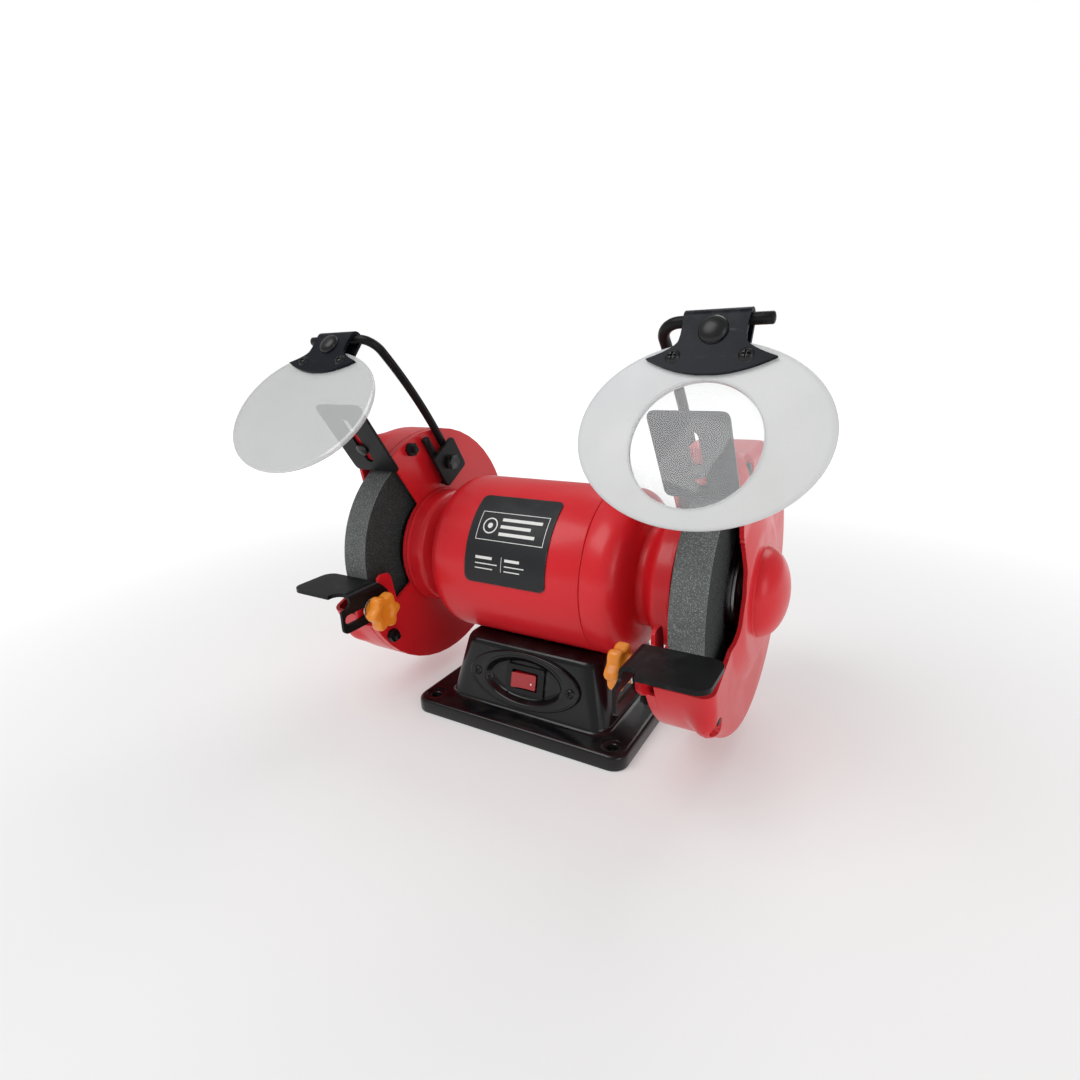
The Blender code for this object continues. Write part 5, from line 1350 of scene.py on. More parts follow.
# ---------------------------------------------------------------- wheels
@dataclass
class GrindingWheel:
    """Wheel, its card blotters, flanges and nut on one end of the shaft."""

    side: Side
    chamfer: float = 0.0010
    bore: float = 0.0067
    blotter_radius: float = 0.0400

    def build(self) -> None:
        """Make the wheel and its clamping parts."""
        word = self.side.word
        low, high = node_box(f"grinding_wheel_{word}")
        near, far = sorted(np.abs([low[0], high[0]]))
        radius = (high[2] - low[2]) / 2
        self.build_wheel(near, far, radius)
        for place, face, out in (("inner", near, -1.0), ("outer", far, 1.0)):
            self.build_blotter(place, face, out)
            self.build_flange(place)
        self.build_nut()

    def build_wheel(self, near: float, far: float, radius: float) -> None:
        """Wheel as a turned section with many rings, its rim's grit in its own material.

        The rim radius is lowered by up to 0.12 mm of fixed noise, as a wheel that has been dressed.
        """
        soft = self.chamfer
        corners = [(near, self.bore), (near, radius), (far, radius), (far, self.bore)]
        section = fillet(corners, [0.0, soft, soft, 0.0], 5)
        rows = [section[0]]
        for start, end in zip(section, np.roll(section, -1, axis=0)):
            spans = max(1, int(np.linalg.norm(end - start) / 0.004))
            share = np.linspace(0.0, 1.0, spans + 1)[1:, None]
            rows.extend(start + (end - start) * share)
        section = np.array(rows[:-1])
        turn = np.linspace(0.0, TAU, 288, endpoint=False)
        worn = np.clip((section[:, 1] - radius + 0.002) / 0.002, 0.0, 1.0)[:, None]
        chatter = np.random.default_rng(7).random((len(section), 288)) * 0.00012
        reach = section[:, 1:] - worn * chatter
        rings = np.stack([self.side.value * section[:, :1] * np.ones(288), reach * np.cos(turn),
                          reach * np.sin(turn)], axis=-1)
        word = self.side.word
        made = piece(f"abrasive_wheel_{word}", skin(rings + SHAFT, closed=True), WHEEL_SIDE, "rotor",
                     f"grinding_wheel_{word}", sharp=50.0)
        made.data.materials.append(WHEEL_RIM.material())
        middles = np.empty(len(made.data.polygons) * 3)
        made.data.polygons.foreach_get("center", middles)
        middles = middles.reshape(-1, 3) - SHAFT
        rim = np.hypot(middles[:, 1], middles[:, 2]) > radius - 0.0006
        made.data.polygons.foreach_set("material_index", rim.astype(np.int32))
        made.data.update()

    def build_blotter(self, place: str, face: float, out: float) -> None:
        """Card disc between wheel and flange: a thin turned ring."""
        thin = 0.00022
        start, end = sorted((face + out * 0.00003, face + out * (0.00003 + thin)))
        section = np.array([(start, self.bore + 0.001), (end, self.bore + 0.001), (end, self.blotter_radius),
                            (start, self.blotter_radius)])
        piece(f"blotter_{place}_{self.side.word}", turned(section, 120, self.side.value), BLOTTER, "rotor")

    def build_flange(self, place: str) -> None:
        """Cupped steel flange: a turned section with a raised clamping ring and a relief."""
        node = f"wheel_flange_{place}_{self.side.word}"
        low, high = node_box(node)
        near, far = sorted(np.abs([low[0], high[0]]))
        radius = (high[2] - low[2]) / 2
        contact, back = (far, near) if place == "inner" else (near, far)
        run = back - contact
        corners = [(contact, self.bore), (contact + 0.12 * run, self.bore + 0.002),
                   (contact + 0.12 * run, 0.78 * radius),
                   (contact, 0.80 * radius), (contact, radius), (contact + 0.42 * run, radius),
                   (contact + 0.62 * run, 0.90 * radius), (contact + 0.80 * run, 0.66 * radius),
                   (back, 0.60 * radius), (back, self.bore)]
        section = fillet(corners, [0.0002, 0.0, 0.0003, 0.0002, 0.0004, 0.0008, 0.002, 0.002, 0.0006,
                                   0.0003], 4)
        piece(f"clamp_flange_{place}_{self.side.word}", turned(section, 120, self.side.value), ZINC, "rotor",
              node, sharp=45.0)

    def build_nut(self) -> None:
        """Hexagon nut with turned corners: radius is the smaller of the hexagon and the chamfer cone."""
        node = f"arbor_nut_{self.side.word}"
        low, high = node_box(node)
        near, far = sorted(np.abs([low[0], high[0]]))
        flats = (high[1] - low[1]) / 2
        flats = min(flats, (high[2] - low[2]) / 2)
        turn = np.linspace(0.0, TAU, 96, endpoint=False)
        hexagon = flats / np.cos((turn % (math.pi / 3)) - math.pi / 6)
        along = np.array([near, near, near + 0.0006, near + 0.0014, far - 0.0014, far - 0.0006, far, far,
                          far - 0.0006, near + 0.0006])
        cone = np.array([self.bore + 0.0005, flats, flats + 0.0007, 1.0, 1.0, flats + 0.0007, flats,
                         self.bore + 0.0005, self.bore, self.bore])
        reach = np.minimum(cone[:, None], hexagon[None])
        rings = np.stack([self.side.value * along[:, None] * np.ones(96), reach * np.cos(turn),
                          reach * np.sin(turn)], axis=-1)
        piece(f"hexagon_nut_{self.side.word}", skin(rings + SHAFT, closed=True), ZINC, "rotor", node,
              sharp=28.0)


# ---------------------------------------------------------------- guards
@dataclass
class WheelGuard:
    """Pressed cover with its open mouth, the inner plate, their bolts and the spark arrestor."""

    side: Side
    sheet: float = 0.0025
    radius: float = 0.091
    face: float = 0.1410
    edge_round: float = 0.007
    disc: tuple[float, float] = (0.044, 0.0045)
    dome: tuple[float, float] = (0.028, 0.1610)
    band_start: float = 0.1081
    bolt_reach: float = 0.085
    bolt_angles: tuple[float, float] = (math.radians(70.0), math.radians(-37.0))
    mouth_top: float = math.radians(57.0)
    mouth_bottom: float = math.radians(-20.0)
    swell_width: float = 1.05
    swell_start: float = 0.060
    swell_run: tuple[float, float] = (0.026, 0.011)
    swell_depth: float = 0.019
    dimple_radius: float = 0.0052
    dimple_edge: float = 0.0009
    dimple_depth: float = 0.0033

    def build(self) -> None:
        """Make the cover, the plate and what is bolted to them."""
        word = self.side.word
        self.build_cover()
        self.build_flange()
        finer_node(f"inner_guard_{word}", RED_ENAMEL, bevel=0.0006, sharp=33.0)
        for place in ("top", "front"):
            finer_node(f"cover_bolt_{place}_{word}", SATIN_BLACK, bevel=0.0003)
        finer_node(f"spark_arrestor_{word}", SATIN_BLACK, bevel=0.0005)
        finer_node(f"spark_screw_{word}", BLACKENED_SCREW, bevel=0.0003)

    def profile(self) -> Array:
        """Section of the cover from the middle of its dome to the band's edge, as (x, radius).

        The dome is a quarter ellipse, the disc stands a step above the face, and a quarter circle
        joins the face to the band.
        """
        disc_radius, step = self.disc
        dome_radius, dome_top = self.dome
        raised = self.face + step
        turn = np.linspace(0.0, math.pi / 2, 26)
        dome = np.column_stack([raised + (dome_top - raised) * np.cos(turn), dome_radius * np.sin(turn)])
        foot = fillet([dome[-3], (raised, dome_radius), (raised, disc_radius - 0.003),
                       (self.face, disc_radius + 0.011), (self.face, 0.060)],
                      [0.0, 0.0015, 0.016, 0.016, 0.0], 8, closed=False)
        flat = np.column_stack([np.full(26, self.face),
                                np.linspace(0.061, self.radius - self.edge_round, 26)])
        quarter = np.linspace(0.0, math.pi / 2, 10)[1:]
        corner = np.column_stack([self.face - self.edge_round * (1 - np.cos(quarter)),
                                  self.radius - self.edge_round * (1 - np.sin(quarter))])
        band = np.column_stack([np.linspace(self.face - self.edge_round, self.band_start, 13)[1:],
                                np.full(12, self.radius)])
        return np.concatenate([dome[:-2], foot[1:], flat, corner, band])

    def mouth_edge(self, angle: Array) -> Array:
        """Radius of the mouth's edge at each angle, as a running mean over the edge's own corners."""
        corners = np.array([(-20.0, 0.0835), (-19.7, 0.0700), (-19.0, 0.0580), (-17.0, 0.0510),
                            (-12.0, 0.0468), (-5.1, 0.0447), (14.9, 0.0429), (34.7, 0.0456), (46.4, 0.0525),
                            (51.3, 0.0615), (57.0, 0.0785)])
        degrees = np.degrees(angle)
        spread = 3.0 * np.clip(np.minimum(degrees + 18.0, 56.0 - degrees) / 8.0, 0.05, 1.0)
        offsets = np.linspace(-1.0, 1.0, 9)[:, None] * spread
        return np.interp(degrees + offsets, corners[:, 0], corners[:, 1]).mean(axis=0)

    def build_cover(self) -> None:
        """Cover as a polar sheet with its mouth left open, pressed dimples and ears, then thickened.

        A point of row j and column t lies at (x_j, -r cos t, r sin t). In the mouth r stops at the
        edge's radius. At a bolt the outline swells by the bell curve g exp(-(c d / w)^2), and the face
        sinks by a smooth step of the distance from the bolt.
        """
        profile = self.profile()
        angles = self.column_angles()
        x, r, clipped = self.clip_to_mouth(profile, angles)
        x, r = self.press_bolts(x, r, angles)
        y, z = -r * np.cos(angles), r * np.sin(angles)
        points = np.stack([self.side.value * x, y, z], axis=-1) + SHAFT

        faces = grid_faces(len(profile), len(angles))
        keep = ~(clipped.ravel()[faces[:, 0]] | clipped.ravel()[faces[:, 1]])
        faces = faces[keep]
        faces = faces if self.side is Side.RIGHT else faces[:, ::-1]
        word = self.side.word
        cover = piece(f"pressed_cover_{word}", Surface(points.reshape(-1, 3), faces.tolist()), RED_ENAMEL,
                      "frame", f"outer_cover_{word}", sharp=60.0)
        self.face_outwards(cover)
        wall = cover.modifiers.new("sheet", "SOLIDIFY")
        wall.thickness = self.sheet
        wall.offset = -1.0
        wall.use_even_offset = True
        add_bevel(cover, 0.0005, segments=3, angle=55.0)

    def column_angles(self) -> Array:
        """Angles of the cover's columns, closer together at the bolts and at the mouth's ends."""
        bolts = np.array(self.bolt_angles)
        fine = (bolts[:, None] + np.radians(np.arange(-9.0, 9.01, 0.4))).ravel() % TAU
        angles = np.concatenate([np.radians(np.arange(0.0, 360.0, 1.5)), fine,
                                 [self.mouth_top, self.mouth_bottom + TAU],
                                 np.radians(np.arange(340.2, 346.0, 0.35)),
                                 np.radians(np.arange(50.0, 57.0, 0.5))])
        return np.unique(np.round(angles % TAU, 5))

    def clip_to_mouth(self, profile: Array, angles: Array) -> tuple[Array, Array, Array]:
        """Stop the columns in the mouth at its edge.

        Args:
            profile: section of the cover as (x, radius).
            angles: angle of each column.

        Returns:
            x and r of each row and column, and where they were stopped.
        """
        signed = np.where(angles > math.pi, angles - TAU, angles)
        open_mouth = (signed > self.mouth_bottom + 1e-4) & (signed < self.mouth_top - 1e-4)
        edge = np.where(open_mouth, self.mouth_edge(signed), 1.0)
        x = np.repeat(profile[:, :1], len(angles), axis=1)
        r = np.repeat(profile[:, 1:], len(angles), axis=1)
        clipped = r >= edge[None]
        face_rows = profile[:, 1] < self.radius - self.edge_round
        height = np.interp(edge, profile[face_rows, 1], profile[face_rows, 0])
        return np.where(clipped, height[None], x), np.where(clipped, edge[None], r), clipped

    def press_bolts(self, x: Array, r: Array, angles: Array) -> tuple[Array, Array]:
        """Swell the outline and sink a dimple at each bolt.

        Args:
            x: distance along the shaft of each row and column.
            r: radius of each row and column.
            angles: angle of each column.

        Returns:
            The changed x and r.
        """
        sizes = (0.0090, 0.0120 if self.side is Side.RIGHT else 0.0090)
        y, z = -r * np.cos(angles), r * np.sin(angles)
        sink = np.zeros_like(r)
        for angle, size in zip(self.bolt_angles, sizes):
            away = (angles - angle + math.pi) % TAU - math.pi
            grow = (self.bolt_reach + size - self.radius) * np.exp(
                -(away * self.bolt_reach / (self.swell_width * size)) ** 2)
            rise = (np.clip((r - self.swell_start) / self.swell_run[0], 0.0, 1.0)
                    * np.clip((x - self.face + self.swell_depth) / self.swell_run[1], 0.0, 1.0))
            r = r + grow[None] * rise * rise * (3 - 2 * rise)
            distance = np.hypot(y + self.bolt_reach * math.cos(angle), z - self.bolt_reach * math.sin(angle))
            fall = np.clip((self.dimple_radius - distance) / self.dimple_edge, 0.0, 1.0)
            sink = np.maximum(sink, fall * fall * (3 - 2 * fall) * (x > self.face - 0.006))
        return x - self.dimple_depth * sink, r

    def face_outwards(self, cover: bpy.types.Object) -> None:
        """Flip the sheet if its faces look inwards, judged at its dome."""
        middles = np.empty(len(cover.data.polygons) * 3)
        normals = np.empty(len(cover.data.polygons) * 3)
        cover.data.polygons.foreach_get("center", middles)
        cover.data.polygons.foreach_get("normal", normals)
        top = np.argmax(self.side.value * middles.reshape(-1, 3)[:, 0])
        if normals.reshape(-1, 3)[top, 0] * self.side.value < 0:
            cover.data.flip_normals()

    def build_flange(self) -> None:
        """Small flange on the mouth's top edge that carries the spark arrestor."""
        lean = math.pi / 2 - self.mouth_top
        back = np.array([0.0, math.cos(lean), math.sin(lean)])
        up = np.array([0.0, -math.sin(lean), math.cos(lean)])
        place = Place(SHAFT, np.array([1.0, 0.0, 0.0]), back, up)
        outline = rounded_box(0.0115, 0.0130, 0.0015, 4) + (self.side.value * 0.1235, 0.1000)
        plate = slab(outline, GAP, GAP + self.sheet, 0.0004)
        piece(f"arrestor_flange_{self.side.word}", reorder(plate, (0, 2, 1), place), RED_ENAMEL, "frame",
              sharp=50.0)


# ---------------------------------------------------------------- tool rests
def corner_inset(radius: float, distance: Array) -> Array:
    """Inset of a quarter-round corner at a distance d from its end: c - sqrt(c^2 - (c - d)^2)."""
    return radius - np.sqrt(np.maximum(radius ** 2 - np.clip(radius - distance, 0.0, radius) ** 2, 0.0))


@dataclass
class ToolRest:
    """Bent rest plate, washer and star knob of one side."""

    side: Side
    bend: float = 0.0045
    relief: float = 0.0058
    corner: float = 0.0078
    leg_corner: float = 0.004
    leg_tail: float = 0.0085
    leg_sheet: float = 0.0020
    plate_sheet: float = 0.0028
    slot_margin: float = 0.0055
    slot_half: float = 0.0033
    relief_drop: float = 0.0042
    relief_lead: float = 0.35
    lobe: float = 0.0014
    lobes: int = 6
    hub_radius: float = 0.0075
    hub_length: float = 0.0053
    stud_radius: float = 0.0029

    def build(self) -> None:
        """Make the rest, its washer and its knob."""
        word = self.side.word
        self.build_rest()
        finer_node(f"rest_washer_{word}", ZINC, bevel=0.0002)
        self.build_knob()

    def build_rest(self) -> None:
        """Rest bent from one sheet: rectangles carried along the plate, round the bend, down the leg.

        The front edge follows a round relief beside the bend, and the free corners are quarter circles.
        """
        word = self.side.word
        node = f"tool_rest_{word}"
        low, high = node_box(node)
        inner, outer = sorted(np.abs([low[0], high[0]]))
        rings = self.rest_rings(inner, outer, low, high)
        made = piece(f"bent_rest_{word}", skin(rings), SATIN_BLACK, f"tool_rest_{word}", node, sharp=35.0)
        axis = joint_origin(f"rest_tilt_{word}")
        half = self.slot_half
        slot = rounded_box((high[1] - low[1]) / 2 - self.slot_margin + half, half, 0.999 * half)
        slot = slot + ((high[1] + low[1]) / 2, axis[2])
        side = self.side.value
        cutter = cutter_rings(slot, side * (inner - 0.01), side * (inner + 0.01), 0)
        cut_away(made, skin(cutter), SATIN_BLACK, 35.0)
        add_bevel(made, 0.0006, segments=3)

    def rest_rings(self, inner: float, outer: float, low: Array, high: Array) -> Array:
        """Rectangles along the bent sheet, from the plate's free end to the leg's foot.

        Args:
            inner: distance of the leg's motor side from the middle, along X.
            outer: distance of the plate's free end from the middle, along X.
            low: lowest corner of the rest's box.
            high: highest corner of the rest's box.

        Returns:
            Four points of the sheet's section at each station.
        """
        top, bottom, front, back = high[2], low[2], low[1], high[1] - self.leg_tail
        bend, relief, drop = self.bend, self.relief, self.relief_drop
        steps = 1 - np.cos(np.linspace(0.0, math.pi / 2, 9))
        spot = inner + relief
        plate_x = np.concatenate([outer - self.corner * steps,
                                  np.linspace(outer - self.corner - 0.002, spot + relief + 0.0004, 10),
                                  spot + relief * np.cos(np.linspace(0.0, math.pi / 2, 9)),
                                  np.linspace(spot, inner + bend, 3)[1:]])
        turn = np.linspace(0.0, math.pi / 2, 9)[1:]
        leg_z = np.concatenate([np.linspace(top - bend - 0.0006, top - relief, 3)[1:] - 0.0002,
                                top - relief - drop * np.sin(np.linspace(0.0, math.pi / 2, 8))[1:],
                                np.linspace(top - relief - drop - 0.001, bottom + self.leg_corner + 0.0005,
                                            8),
                                bottom + (self.corner * steps)[::-1] * self.leg_corner / self.corner])
        path_x = np.concatenate([plate_x, inner + bend * (1 - np.sin(turn)), np.full(len(leg_z), inner)])
        path_z = np.concatenate([np.full(len(plate_x), top), top - bend * (1 - np.cos(turn)), leg_z])
        under_x = np.concatenate([plate_x, inner + bend - (bend - self.leg_sheet) * np.sin(turn),
                                  np.full(len(leg_z), inner + self.leg_sheet)])
        thin = np.interp(turn, [0.0, math.pi / 2], [self.plate_sheet, bend])
        under_z = np.concatenate([np.full(len(plate_x), top - self.plate_sheet), top - thin, leg_z])

        on_leg = path_z < top - 1e-6
        across = np.sqrt(np.maximum(relief ** 2 - (np.clip(path_x, spot, None) - spot) ** 2, 0.0))
        below = np.clip((top - relief - path_z) / drop, 0.0, 1.0)
        notch = np.where(on_leg, (1 + self.relief_lead) * relief * np.sqrt(1 - below ** 2),
                         np.where(across > 1e-6, across + self.relief_lead * relief, 0.0))
        corner_in = corner_inset(self.corner, outer - path_x)
        leg_in = corner_inset(self.leg_corner, path_z - bottom)
        tail = np.clip((top - path_z) / self.leg_tail, 0.0, 1.0) * self.leg_tail
        front_y = front + corner_in + np.where(on_leg, leg_in, 0.0) + notch
        back_y = back - corner_in + np.where(on_leg, tail - leg_in, 0.0)
        side = self.side.value
        sides = ((path_x, front_y, path_z), (path_x, back_y, path_z), (under_x, back_y, under_z),
                 (under_x, front_y, under_z))
        return np.stack([np.stack([side * x, y, z], -1) for x, y, z in sides], axis=1)

    def build_knob(self) -> None:
        """Star knob: rings whose radius is R(x) + lobe cos(6 t), rounded at both faces, on its hub.

        The lobes fade out towards the middle of the face, which is dished.
        """
        word = self.side.word
        node = f"rest_knob_{word}"
        points = node_points(node)
        axis = joint_origin(f"rest_knob_turn_{word}")
        low, high = node_box(node)
        near, far = sorted(np.abs([low[0], high[0]]))
        radius = float(np.hypot(points[:, 1] - axis[1], points[:, 2] - axis[2]).max()) - self.lobe
        thick = 0.0085
        body_end = near + thick
        hub_end = body_end + self.hub_length
        turn = np.linspace(0.0, TAU, 144, endpoint=False)
        stations = [(near + 0.0018, 0.0, 0.0), (near + 0.0018, 0.30, 0.0), (near + 0.0014, 0.40, 0.0),
                    (near + 0.0004, 0.50, 0.2), (near, 0.60, 0.5), (near, 0.78, 0.8),
                    (near + 0.0003, 0.88, 1.0),
                    (near + 0.0010, 0.95, 1.0), (near + 0.0020, 0.99, 1.0), (near + 0.0030, 1.0, 1.0),
                    (body_end - 0.0030, 1.0, 1.0), (body_end - 0.0016, 0.985, 1.0),
                    (body_end - 0.0006, 0.94, 1.0), (body_end - 0.0001, 0.86, 0.9), (body_end, 0.74, 0.6)]
        rings = []
        for x, share, wave in stations:
            reach = share * radius + wave * self.lobe * np.cos(self.lobes * turn)
            rings.append((x, np.maximum(reach, 0.0)))
        hub = self.hub_radius
        for x, reach in ((body_end + 0.0003, hub + 0.0010), (body_end + 0.0010, hub + 0.0002),
                         (body_end + 0.0018, hub), (hub_end - 0.0008, hub), (hub_end - 0.0002, hub - 0.0003),
                         (hub_end, hub - 0.0008), (hub_end, self.stud_radius),
                         (far - 0.0005, self.stud_radius),
                         (far, self.stud_radius - 0.0005), (far, 0.0)):
            rings.append((x, np.full(144, reach)))
        made = np.array([np.column_stack([np.full(144, self.side.value * x), axis[1] + reach * np.cos(turn),
                                          axis[2] + reach * np.sin(turn)]) for x, reach in rings])
        piece(f"star_knob_{word}", skin(made), ORANGE_MOULDING, f"rest_knob_{word}", node, sharp=50.0)


# ---------------------------------------------------------------- eye shields
@dataclass
class EyeShield:
    """Bent rod with its clamp, and the shield with its bracket and screws."""

    side: Side
    rod_radius: float = 0.0030
    rod_plane: float = 0.0983
    lean: float = math.radians(30.7)
    hairpin: float = 0.007
    stub: float = 0.028
    straight: float = 0.004
    arc_radius: float = 0.385
    arc_angle: float = math.radians(14.5)
    bend: float = 0.011
    half: tuple[float, float] = (0.060, 0.0464)
    thickness: float = 0.0025
    centre_drop: float = 0.058
    magnifier_drop: float = 0.0634
    magnifier_radius: float = 0.0317
    sheet: float = 0.0020
    top_half: float = 0.0160
    neck_drop: float = 0.0125
    wing: tuple[float, float] = (0.0310, 0.0218)
    bottom_drop: float = 0.0300
    tail_drop: float = 0.0135
    bolt_drop: float = 0.0078
    screw_at: tuple[float, float] = (0.0172, 0.0210)

    def build(self) -> None:
        """Make the rod, the clamp, the bracket and the shield."""
        word = self.side.word
        self.build_rod()
        finer_node(f"rod_clamp_{word}", SATIN_BLACK, bevel=0.0006)
        finer_node(f"clamp_bolt_{word}", BLACKENED_SCREW, bevel=0.0003)
        place = shield_place(self.side)
        self.build_bracket(place)
        self.build_fasteners(place)
        if self.side is Side.RIGHT:
            self.build_frosted(place)
        else:
            self.build_clear(place)

    def build_rod(self) -> None:
        """Rod along its centre line: stub, hairpin, long arc, quarter bend and level end."""
        x = self.side.value * self.rod_plane
        turn = np.linspace(math.pi, TAU, 25)
        hairpin = np.column_stack([self.hairpin * np.cos(turn), self.hairpin * np.sin(turn)])
        stub = np.column_stack([np.full(6, -self.hairpin), np.linspace(self.stub, 0.002, 6)])
        sweep = np.linspace(0.0, self.arc_angle, 26)
        centre = self.hairpin - self.arc_radius
        arc = np.column_stack([centre + self.arc_radius * np.cos(sweep),
                               self.straight + self.arc_radius * np.sin(sweep)])
        flat = np.concatenate([stub, hairpin, arc])
        path = np.column_stack([np.full(len(flat), x), flat])
        along = np.array([0.0, -math.sin(self.arc_angle), math.cos(self.arc_angle)])
        across = np.array([self.side.value, 0.0, 0.0])
        corner = np.linspace(0.0, math.pi / 2, 15)[1:, None]
        quarter = path[-1] + along * self.bend * np.sin(corner) + across * self.bend * (1 - np.cos(corner))
        low, high = node_box(f"shield_rod_{self.side.word}")
        end_x = high[0] if self.side is Side.RIGHT else low[0]
        level = np.repeat(quarter[-1:], 8, axis=0)
        level[:, 0] = np.linspace(quarter[-1, 0], end_x, 9)[1:]
        path = np.concatenate([path, quarter, level])
        pivot = joint_origin(f"shield_arm_{self.side.word}")
        back = np.array([0.0, math.cos(self.lean), math.sin(self.lean)])
        up = np.array([0.0, -math.sin(self.lean), math.cos(self.lean)])
        place = Place(np.array([0.0, pivot[1], pivot[2]]), np.array([1.0, 0.0, 0.0]), back, up)
        word = self.side.word
        bar = tube(place.put(path), self.rod_radius)
        piece(f"bent_rod_{word}", bar, SATIN_BLACK, f"shield_arm_{word}", f"shield_rod_{word}", sharp=50.0)

    def bracket_rows(self) -> list[tuple[float, float, float, float, float]]:
        """Rows along the bent sheet: half width, and (back, up) of its inner and outer face."""
        near = self.rod_radius + GAP
        far = near + self.sheet
        rows = [(self.top_half, near, -self.tail_drop, far, -self.tail_drop)]
        for angle in np.linspace(0.0, math.pi, 21):
            rows.append((self.top_half, near * math.cos(angle), near * math.sin(angle),
                         far * math.cos(angle), far * math.sin(angle)))
        wing_half, wing_drop = self.wing
        rows += [(self.top_half - 0.0004, -near, -drop, -far, -drop)
                 for drop in np.linspace(0.004, self.neck_drop - 0.003, 4)]
        neck = np.linspace(0.0, 1.0, 9)
        for share in neck:
            drop = self.neck_drop + (wing_drop - self.neck_drop) * share
            widen = (wing_half - self.top_half) * share ** 1.7
            rows.append((self.top_half + widen, -near, -drop, -far, -drop))
        sag = self.bottom_drop - wing_drop
        for share in np.linspace(0.04, 1.0, 14):
            drop = wing_drop + sag * share
            rows.append((wing_half * math.sqrt(max(1.0 - 0.98 * share, 0.0)), -near, -drop, -far, -drop))
        return rows

    def build_bracket(self, place: Place) -> None:
        """Bracket as a skin of rectangles along the bent sheet, its edges rounded after."""
        rings = np.array([[(-half, v0, w0), (half, v0, w0), (half, v1, w1), (-half, v1, w1)]
                          for half, v0, w0, v1, w1 in self.bracket_rows()])
        word = self.side.word
        made = piece(f"folded_bracket_{word}", skinned_in(place, rings), BRACKET_BLACK, f"shield_{word}",
                     f"shield_bracket_{word}", sharp=35.0)
        hole = oval(0.0027, 0.0027, 24) + (0.0, -self.bolt_drop)
        cut_away(made, skinned_in(place, cutter_rings(hole, -0.02, 0.02)), BRACKET_BLACK, 35.0)
        add_bevel(made, 0.0004)

    def build_fasteners(self, place: Place) -> None:
        """Domed bolt through the bracket, and the two cross-head screws that hold the plate."""
        word = self.side.word
        front = self.rod_radius + GAP + self.sheet
        self.build_dome_bolt(place, front)
        for label, sign in (("left", -1.0), ("right", 1.0)):
            spot = np.array([sign * self.screw_at[0], -front - 0.00005, -self.screw_at[1]])
            seat = Place(place.put(spot), place.right, place.back, place.up)
            cross_head(f"shield_screw_{label}_{word}", seat, 0.0037, 0.0017, f"shield_{word}")

    def build_dome_bolt(self, place: Place, front: float) -> None:
        """Coach bolt: a dome (R cos t, rise sin t), its shank and a hexagon nut behind."""
        head, rise, shank = 0.0072, 0.0032, 0.0024
        turn = np.linspace(0.0, TAU, 72, endpoint=False)
        arc = np.linspace(math.pi / 2, 0.0, 14)
        seat = -front - GAP
        rows = [(seat - rise * math.sin(t), head * math.cos(t)) for t in arc]
        nut = front + GAP
        rows += [(seat, head - 0.0003), (seat, shank), (nut, shank), (nut, 0.0046), (nut + 0.0004, 0.0050),
                 (nut + 0.0031, 0.0050), (nut + 0.0035, 0.0046), (nut + 0.0035, 0.0)]
        hexagon = 0.00425 / np.cos((turn % (math.pi / 3)) - math.pi / 6)
        rings = []
        for depth, reach in rows:
            size = np.minimum(reach, hexagon) if depth >= nut and reach > shank else np.full(72, reach)
            rings.append(np.column_stack([size * np.cos(turn), np.full(72, depth),
                                          size * np.sin(turn) - self.bolt_drop]))
        word = self.side.word
        piece(f"dome_bolt_{word}", skinned_in(place, np.array(rings)), BLACKENED_SCREW, f"shield_{word}",
              f"bracket_bolt_{word}", sharp=32.0)

    def sheet_rings(self, inner: Array) -> Array:
        """Rings of the oval plate from an inner outline to its rounded rim and back.

        The outline between the two is a straight blend, and the rim is half a circle of the thickness.
        """
        outer = oval(*self.half, len(inner)) + (0.0, -self.centre_drop)
        front = -(self.rod_radius + GAP) + GAP
        back = front + self.thickness
        soft = 0.0007
        middle = np.array([0.0, -self.centre_drop])
        reach = np.linalg.norm(outer - middle, axis=1, keepdims=True)
        share = np.linspace(0.0, 1.0, 14)[:, None, None]
        face = inner + (middle + (outer - middle) * (1 - soft / reach) - inner) * share
        rows = [np.insert(row, 1, front, axis=1) for row in face]
        for turn in np.linspace(0.0, math.pi, 7)[1:-1]:
            rim = middle + (outer - middle) * (1 - soft / reach * (1 - math.sin(turn)))
            rows.append(np.insert(rim, 1, (front + back) / 2 - (back - front) / 2 * math.cos(turn), axis=1))
        rows += [np.insert(row, 1, back, axis=1) for row in face[::-1]]
        return np.array(rows)

    def build_clear(self, place: Place) -> None:
        """Clear oval plate."""
        turn = np.linspace(0.0, TAU, 160, endpoint=False)
        inner = np.column_stack([0.0 * np.cos(turn), 0.0 * np.sin(turn) - self.centre_drop])
        word = self.side.word
        piece(f"clear_shield_{word}", skinned_in(place, self.sheet_rings(inner)), CLEAR_SHEET,
              f"shield_{word}", f"shield_lens_{word}", sharp=60.0)

